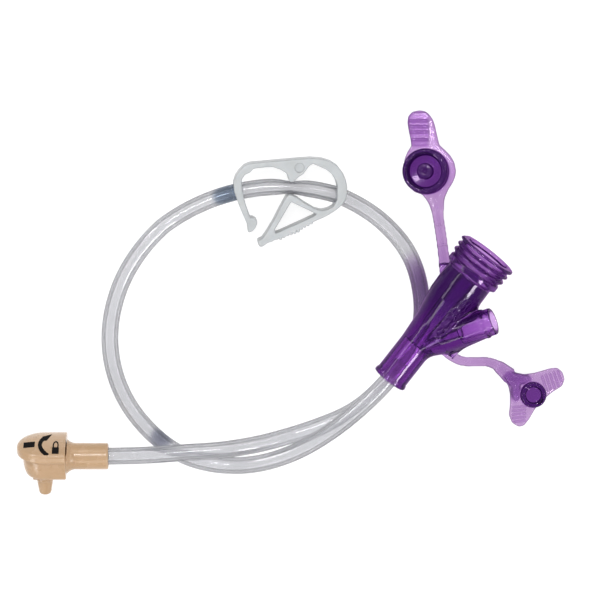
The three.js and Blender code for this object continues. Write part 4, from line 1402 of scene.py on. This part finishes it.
def adapter_field(x, y, z):
    main_along, main_side, main_up = MAIN_AXIS(x, y, z)
    main_r = np.hypot(main_side, main_up)
    side_r, side_along = SIDE_AXIS.turned(x, y, z)
    solid = cones(x, y, z)
    # the web that ties the side branch to the cone
    web = np.maximum(np.maximum(main_r - 8.2, side_r - 5.2),
                     np.maximum(np.abs(main_up - 0.4) - 0.6, np.abs(side_along - 9.5) - 4.2))
    solid = smin(solid, web, blend=1.6)
    for root, low, high in ((FEED_ROOT, (29, -1, 3), (40, 15, 15)),
                            (MED_ROOT, (26, -16, 2), (41, -3, 14))):
        strap = inside_box(lambda a, b, c: strap_field(a, b, c, root), x, y, z, low, high)
        solid = smin(solid, strap, blend=0.7)
    solid = np.minimum(solid, inside_box(beaded_cones, x, y, z, (29, -9, 9), (41, 3, 19)))
    for hollow in MAIN_HOLLOWS:
        solid = np.maximum(solid, -hollow(main_r, main_along))
    for hollow in SIDE_HOLLOWS:
        solid = np.maximum(solid, -hollow(side_r, side_along))
    return solid


def cut_strap(ob, cut, radius, root=None):
    """Cuts within radius of the cut's point, and only close to the root strap if given."""
    def pick(point):
        if np.linalg.norm(point - cut[0]) > radius:
            return False
        return root is None or float(strap_field(*point[:, None], root)[0]) < 0.45
    cut_open(ob, cut[0], cut[1], pick, CUT_GAP)


def name_adapter(points):
    """Keeps the body and drops the root stubs past the cuts."""
    return "y_adapter_body" if len(points) > 6000 * 1 else None


beaded_skin(PURPLE, BEADS[0][:3], BEADS[-1][:3], radius=1.7, scale=1000.0, height=0.0006)
ob = field_object("adapter_raw", adapter_field, [17.4, -20.6, 2.6], [48.2, 14.6, 21.4], 0.2,
                  [PURPLE, SEAM_PURPLE])
cut_strap(ob, FEED_CUTS[0], 2.6, FEED_ROOT)
cut_strap(ob, MED_CUTS[0], 2.4, MED_ROOT)
ob = split_object(ob, name_adapter)["y_adapter_body"]
true_normals(ob, adapter_field)
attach(ob, "set_body")
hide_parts("y_body", "feeding_port_collar")


# ---------------------------------------------------------------- shared by both caps
def rib_frame(x, y, centre, heading):
    """Distances along and across a rib's line."""
    dx, dy = x - centre[0], y - centre[1]
    return dx * heading[0] + dy * heading[1], dx * heading[1] - dy * heading[0]


def rib_field(x, y, z, centre, heading, half, height, radius):
    along, across = rib_frame(x, y, centre, heading)
    beyond = np.maximum(np.abs(along) - half, 0)
    return np.sqrt(beyond ** 2 + across ** 2 + (z - height) ** 2) - radius


# painted shade across a rib's line, used to darken the rib crests
def rib_shade(x, y, centre, heading, half, width):
    along, across = rib_frame(x, y, centre, heading)
    return np.exp(-(across / width) ** 2) * (1 - ease(np.abs(along), half - 0.1, half + 0.3))


def set_deep(ob, shade):
    """Stores how deep the skin's color is at each vertex."""
    flag = ob.data.attributes.new("deep", "FLOAT", "POINT")
    values = np.clip(shade(*mm_of(ob).T), 0, 1)
    flag.data.foreach_set("value", values.astype(np.float32))


def tether_pieces(raw_name, prefix, field, low, high, cell, rounds, cuts, radii, axis, shade):
    """Builds a cap with its strap and parts it at the cuts, which follow one another along
    the given axis. Returns the root, the middle and the cap."""
    ob = field_object(raw_name, field, low, high, cell, [FLEXIBLE, SEAM_FLEXIBLE], rounds)
    for cut, radius in zip(cuts, radii):
        cut_strap(ob, cut, radius)
    names = (None, prefix + "_cap_tether_root", prefix + "_cap_tether_middle",
             prefix + "_port_cap")

    def namer(points):
        return names[sum(points.mean(0)[axis] >= point[axis] for point, _ in cuts)]

    pieces = split_object(ob, namer)
    for piece in pieces.values():
        true_normals(piece, field)
    set_deep(pieces[names[3]], shade)
    return [pieces[name] for name in names[1:]]


# ---------------------------------------------------------------- feeding port cap
# Cap frame: centred on the cap and tilted about Y.
FEED_CENTRE = np.array([30.41, 29.04, 1.45])
FEED_COS, FEED_SIN = math.cos(math.radians(-7)), math.sin(math.radians(-7))
FEED_PLUG_X, FEED_PLUG_Y = -0.55, -0.05
FEED_RIB_X, FEED_RIB_YS = -2.3, (11.15, 9.9, 8.7, 7.0)
feed_cap_table = Table2D(np.array([      # x, y
    [28.21, 42.57], [29.43, 42.35], [30.41, 41.58], [31.18, 40.48], [31.62, 39.16],
    [32.06, 37.18], [32.62, 34.87], [33.72, 33.88], [35.04, 32.56], [35.91, 31.02],
    [36.27, 29.26], [36.13, 27.94], [35.48, 26.4], [34.59, 25.08], [33.83, 23.32],
    [33.4, 21.6], [33.35, 20.7], [30.95, 20.46], [30.75, 21.3], [30.2, 22.22],
    [28.77, 23.98], [27.11, 24.53], [26.02, 25.52], [25.02, 27.06], [24.59, 28.6],
    [24.59, 29.7], [24.91, 31.9], [25.57, 33.44], [26.46, 34.76], [26.23, 36.3],
    [25.8, 38.28], [25.53, 39.82], [25.68, 41.14], [26.68, 42.24]]) - FEED_CENTRE[:2],
    0.22, pad=2.2)
feed_plug_table = Table2D([              # radius, height
    [4.95, 0.3], [4.95, 5.5], [4.6, 5.88], [4.2, 5.88], [3.7, 5.5], [3.5, 3.4], [1.76, 3.2],
    [1.76, 5.1], [1.45, 5.48], [0.6, 5.48], [0.35, 5.0], [0, 4.9], [-0.35, 5.0],
    [-0.6, 5.48], [-1.45, 5.48], [-1.76, 5.1], [-1.76, 3.2], [-3.5, 3.4], [-3.7, 5.5],
    [-4.2, 5.88], [-4.6, 5.88], [-4.95, 5.5], [-4.95, 0.3]], 0.08)


def feed_local(x, y, z):
    x, y, z = x - FEED_CENTRE[0], y - FEED_CENTRE[1], z - FEED_CENTRE[2]
    return x * FEED_COS - z * FEED_SIN, y, x * FEED_SIN + z * FEED_COS


def feed_field(x, y, z):
    strap = strap_field(x, y, z, FEED_LINE, rib=0.3)
    x, y, z = feed_local(x, y, z)
    rim = feed_cap_table(x, y)
    base = slab(rim, np.abs(z) - 0.65, rounding=0.58)
    # thicker pad on the -x side of the grip tab, with ribs
    pad = np.maximum(np.maximum(np.abs(x + 2.35) - 2.1, np.abs(y - 9.4) - 3.6),
                     np.abs(z - 0.55) - 0.35)
    base = smin(base, smax(pad, rim + 0.12, blend=0.2), blend=0.35)
    for rib_y in FEED_RIB_YS:
        rib = rib_field(x, y, z, (FEED_RIB_X, rib_y), (1.0, 0.0), half=1.8, height=0.9,
                        radius=0.3)
        base = smin(base, np.maximum(rib, rim + 0.2), blend=0.12)
    solid = smin(strap, base, blend=0.5)
    plug = feed_plug_table(np.hypot(x - FEED_PLUG_X, y - FEED_PLUG_Y), z)
    return smin(solid, plug, blend=0.4)


def feed_shade(x, y, z):
    """Deeper color in the plug, the pad and the tab's end, and painted shade along the crests of
    the ribs.
    """
    x, y, z = feed_local(x, y, z)
    deep = 1 - ease(np.hypot(x - FEED_PLUG_X, y - FEED_PLUG_Y), 4.9, 5.3)
    pad = 0.75 * (1 - ease(x, -0.7, 0.2)) * ease(y, 4.0, 6.2) * (1 - ease(y, 12.6, 13.4))
    deep = np.maximum(deep, pad)
    deep = np.maximum(deep, 0.35 * ease(y, -6.5, -4.0))
    for rib_y in FEED_RIB_YS:
        crest = rib_shade(x, y, (FEED_RIB_X, rib_y), (1.0, 0.0), half=1.9, width=0.2)
        # painted shade along the rib crests
        deep = np.maximum(deep, 0.95 * crest * (z > 0.5))
    return deep


root, middle, cap = tether_pieces(
    "feed_raw", "feeding", feed_field, [23.6, 2.0, -0.6], [37.4, 43.8, 12.6], cell=0.17,
    rounds=3, cuts=FEED_CUTS, radii=(2.6, 3.0, 3.0), axis=1, shade=feed_shade)
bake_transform(root)
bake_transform(middle)
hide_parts("feeding_strap_lower", "feeding_strap_upper")
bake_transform(cap)
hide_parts("feeding_cap_base", "feeding_cap_plug")

# ---------------------------------------------------------------- medication port cap
MED_PLUG_X, MED_PLUG_Y = 53.23, -20.24
# ribs across both lobes: first centre, pitch, heading, half length, width of the shade
MED_RIB_COUNT = 5
MED_RIBS = (((55.75, -17.75), (0.88, 0.3), (-0.32, 0.95), 1.7, 0.24),
            ((50.25, -22.9), (-0.05, -0.8), (0.99, 0.1), 1.35, 0.22))
# thick root where the strap meets the cap, spreading towards both lobes
MED_HUMPS = ((48.7, -16.7, 2.2, 1.6, 1.5), (50.6, -16.8, 2.3, 1.1, 1.35),
             (49.5, -19.3, 1.05, 2.4, 1.35))         # x, y, half sizes in x, y, z
MED_DEEP_OVALS = ((48.9, -16.9, 2.6, 2.0), (50.8, -17.0, 2.6, 1.3),
                  (49.4, -19.4, 1.3, 2.7))           # x, y, half sizes in x, y
med_cap_table = Table2D([                # x, y
    [45.2, -14.95], [46.1, -15.7], [46.94, -16.86], [47.82, -18.26], [48.23, -20.09],
    [48.23, -22.42], [47.97, -24.73], [48.67, -26.47], [50.13, -27.35], [51.29, -27.06],
    [52.46, -25.61], [53.62, -23.56], [55.05, -21.82], [57.39, -19.8], [59.7, -18.35],
    [60.29, -16.9], [59.85, -15.31], [58.69, -14.3], [57.1, -14.43], [55.36, -14.94],
    [53.62, -15.44], [51.29, -15.73], [49.27, -15.31], [47.82, -14.4], [46.4, -13.35]],
    0.28, pad=2.2)
med_plug_table = Table2D([               # radius, height
    [2.78, 0.9], [2.78, 5.5], [2.5, 5.88], [1.95, 5.88], [1.7, 5.5], [1.7, 3.6], [-1.7, 3.6],
    [-1.7, 5.5], [-1.95, 5.88], [-2.5, 5.88], [-2.78, 5.5], [-2.78, 0.9]], 0.08)


def med_ribs():
    """Centre, heading, half length and shade width of each rib."""
    for start, pitch, heading, half, width in MED_RIBS:
        for k in range(MED_RIB_COUNT):
            centre = (start[0] + k * pitch[0], start[1] + k * pitch[1])
            yield centre, heading, half, width


def med_field(x, y, z):
    strap = strap_field(x, y, z, MED_LINE, rib=0.26)
    rim = med_cap_table(x, y)
    base = slab(rim, np.abs(z - 0.9) - 0.65, rounding=0.58)
    for centre, heading, half, _ in med_ribs():
        rib = rib_field(x, y, z, centre, heading, half, height=1.55, radius=0.27)
        base = smin(base, np.maximum(rib, rim + 0.4), blend=0.1)
    for centre_x, centre_y, half_x, half_y, half_z in MED_HUMPS:
        reach = np.sqrt(((x - centre_x) / half_x) ** 2 + ((y - centre_y) / half_y) ** 2
                        + ((z - 1.45) / half_z) ** 2)
        hump = np.maximum((reach - 1) * min(half_x, half_y, half_z), 0.3 - z)
        base = smin(base, np.maximum(hump, rim + 0.35), blend=0.5)
    solid = smin(strap, base, blend=1.0)
    plug = med_plug_table(np.hypot(x - MED_PLUG_X, y - MED_PLUG_Y), z)
    return smin(solid, plug, blend=0.35)


def med_shade(x, y, z):
    """Deeper color in the plug and the thick root, and painted shade along the crests of the
    ribs.
    """
    deep = 1 - ease(np.hypot(x - MED_PLUG_X, y - MED_PLUG_Y), 2.75, 3.0)
    for centre_x, centre_y, half_x, half_y in MED_DEEP_OVALS:
        reach = np.hypot((x - centre_x) / half_x, (y - centre_y) / half_y)
        deep = np.maximum(deep, 0.6 * (1 - ease(reach, 0.55, 1.15)))
    for centre, heading, half, width in med_ribs():
        crest = rib_shade(x, y, centre, heading, half, width)
        # painted shade along the rib crests
        deep = np.maximum(deep, 0.5 * crest * (z > 1.3))
    return deep


root, middle, cap = tether_pieces(
    "med_raw", "medication", med_field, [29.2, -28.6, -0.6], [61.4, -5.4, 10.8], cell=0.16,
    rounds=2, cuts=MED_CUTS, radii=(2.4, 2.8, 2.8), axis=0, shade=med_shade)
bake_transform(root)
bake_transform(middle)
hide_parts("medication_strap_lower", "medication_strap_upper")
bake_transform(cap)
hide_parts("medication_cap_base", "medication_cap_plug")


# ---------------------------------------------------------------- stage, light and camera
FLOOR_HALF, FLOOR_Z = 1.6, -0.0002     # metres


def floor_material():
    """Pale glowing sweep. Seen at a shallow angle through a clear part it falls off to grey,
    as a lit table in a darker room does."""
    material, tree, output = new_mat("studio_sweep")
    color = ramp(tree, noise(tree, scale=40.0, detail=2, roughness=0.4),
                 [(0.3, grey(0.24)), (0.7, grey(0.25))])
    geometry = add_node(tree, "NewGeometry").outputs
    angle = add_node(tree, "VectorMath", {0: geometry["Incoming"], 1: geometry["Normal"]},
                     operation="DOT_PRODUCT")
    falloff = ramp(tree, angle.outputs["Value"], [
        (0.0, (0.10, 0.10, 0.11, 1)), (0.35, (0.22, 0.22, 0.24, 1)),
        (0.72, (0.62, 0.62, 0.63, 1)), (0.95, (1, 1, 1, 1))])
    falloff_red = add_node(tree, "SeparateColor", {0: falloff}).outputs[0]
    rays = add_node(tree, "LightPath").outputs
    direct = add_node(tree, "Math", {0: rays["Is Camera Ray"], 1: rays["Is Diffuse Ray"]},
                      operation="MAXIMUM")
    glow = add_node(tree, "Mix", {0: direct.outputs[0], 2: falloff_red, 3: 0.88},
                    data_type="FLOAT")
    sweep = add_node(tree, "BsdfPrincipled", {
        "Base Color": color, "Roughness": 0.9, "Specular IOR Level": 0.1,
        "Emission Color": (1, 1, 1, 1), "Emission Strength": glow.outputs[0]})
    tree.links.new(sweep.outputs[0], output.inputs["Surface"])
    return material


def studio_floor():
    material = floor_material()
    mesh = bpy.data.meshes.new("studio_floor")
    corners = [(x * FLOOR_HALF, y * FLOOR_HALF, FLOOR_Z)
               for x, y in ((-1, -1), (1, -1), (1, 1), (-1, 1))]
    mesh.from_pydata(corners, [], [(0, 1, 2, 3)])
    mesh.materials.append(material)
    floor = bpy.data.objects.new("studio_floor", mesh)
    bpy.context.scene.collection.objects.link(floor)


def studio_world():
    """A different surround for camera, glossy, diffuse and all other rays."""
    world = bpy.data.worlds.new("studio")
    world.use_nodes = True
    bpy.context.scene.world = world
    tree = world.node_tree
    tree.nodes.clear()

    def background(color, strength):
        return add_node(tree, "Background", {"Color": color, "Strength": strength}).outputs[0]

    place = add_node(tree, "TexCoord").outputs["Generated"]
    height = add_node(tree, "SeparateXYZ", {0: place}).outputs["Z"]
    levels = [(0.0, 0.30), (0.12, 0.34), (0.35, 0.6), (0.7, 0.95), (0.86, 0.8), (0.97, 0.3),
              (1.0, 0.22)]            # height, brightness
    sky = ramp(tree, height, [(h, (v * 0.985, v * 0.99, v, 1)) for h, v in levels])
    band = ramp(tree, height, [(0.60, grey(0.0)), (0.64, grey(1.0)), (0.69, grey(1.0)),
                               (0.73, grey(0.0))])
    rays = add_node(tree, "LightPath").outputs
    surround = mix_shader(tree, rays["Is Diffuse Ray"], background(sky, strength=0.7),
                          background((0.97, 0.98, 1.0, 1), strength=0.62))
    # reflections see a dim sky with one bright band around it
    reflected = mix_shader(tree, band, background(sky, strength=0.3),
                           background((1, 1, 1, 1), strength=4.5))
    surround = mix_shader(tree, rays["Is Glossy Ray"], surround, reflected)
    surround = mix_shader(tree, rays["Is Camera Ray"], surround,
                          background((0.94, 0.945, 0.95, 1), strength=1.0))
    add_node(tree, "OutputWorld", {"Surface": surround})


def area(name, location, target, size, power):
    light = bpy.data.lights.new(name, "AREA")
    light.shape = "RECTANGLE"
    light.size, light.size_y = size
    light.energy = power
    ob = bpy.data.objects.new(name, light)
    ob.location = location
    heading = Vector(target) - Vector(location)
    ob.rotation_euler = heading.to_track_quat("-Z", "Y").to_euler()
    ob.visible_camera = False
    bpy.context.scene.collection.objects.link(ob)


def top_camera():
    """Long lens looking straight down."""
    camera = bpy.data.cameras.new("camera")
    camera.lens = 250
    camera.sensor_width = 36
    camera.clip_start = 0.01
    ob = bpy.data.objects.new("camera", camera)
    ob.location = (0.00187, 0.000526, 0.9217)
    bpy.context.scene.collection.objects.link(ob)
    bpy.context.scene.camera = ob


studio_floor()
studio_world()
area("soft_top", location=(-0.03, 0.095, 0.50), target=(0, 0, 0), size=(0.11, 0.05),
     power=0.5)
area("window_right", location=(0.23, -0.285, 0.305), target=(0.035, 0, 0),
     size=(0.11, 0.12), power=0.62)
area("soft_left", location=(-0.30, 0.22, 0.26), target=(-0.01, 0, 0), size=(0.06, 0.12),
     power=0.3)
area("low_front", location=(-0.32, -0.34, 0.14), target=(-0.04, -0.03, 0),
     size=(0.14, 0.12), power=0.26)
top_camera()

scene = bpy.context.scene
scene.view_settings.view_transform = "Standard"
scene.cycles.transparent_max_bounces = 24
scene.cycles.transmission_bounces = 16
scene.cycles.max_bounces = 20
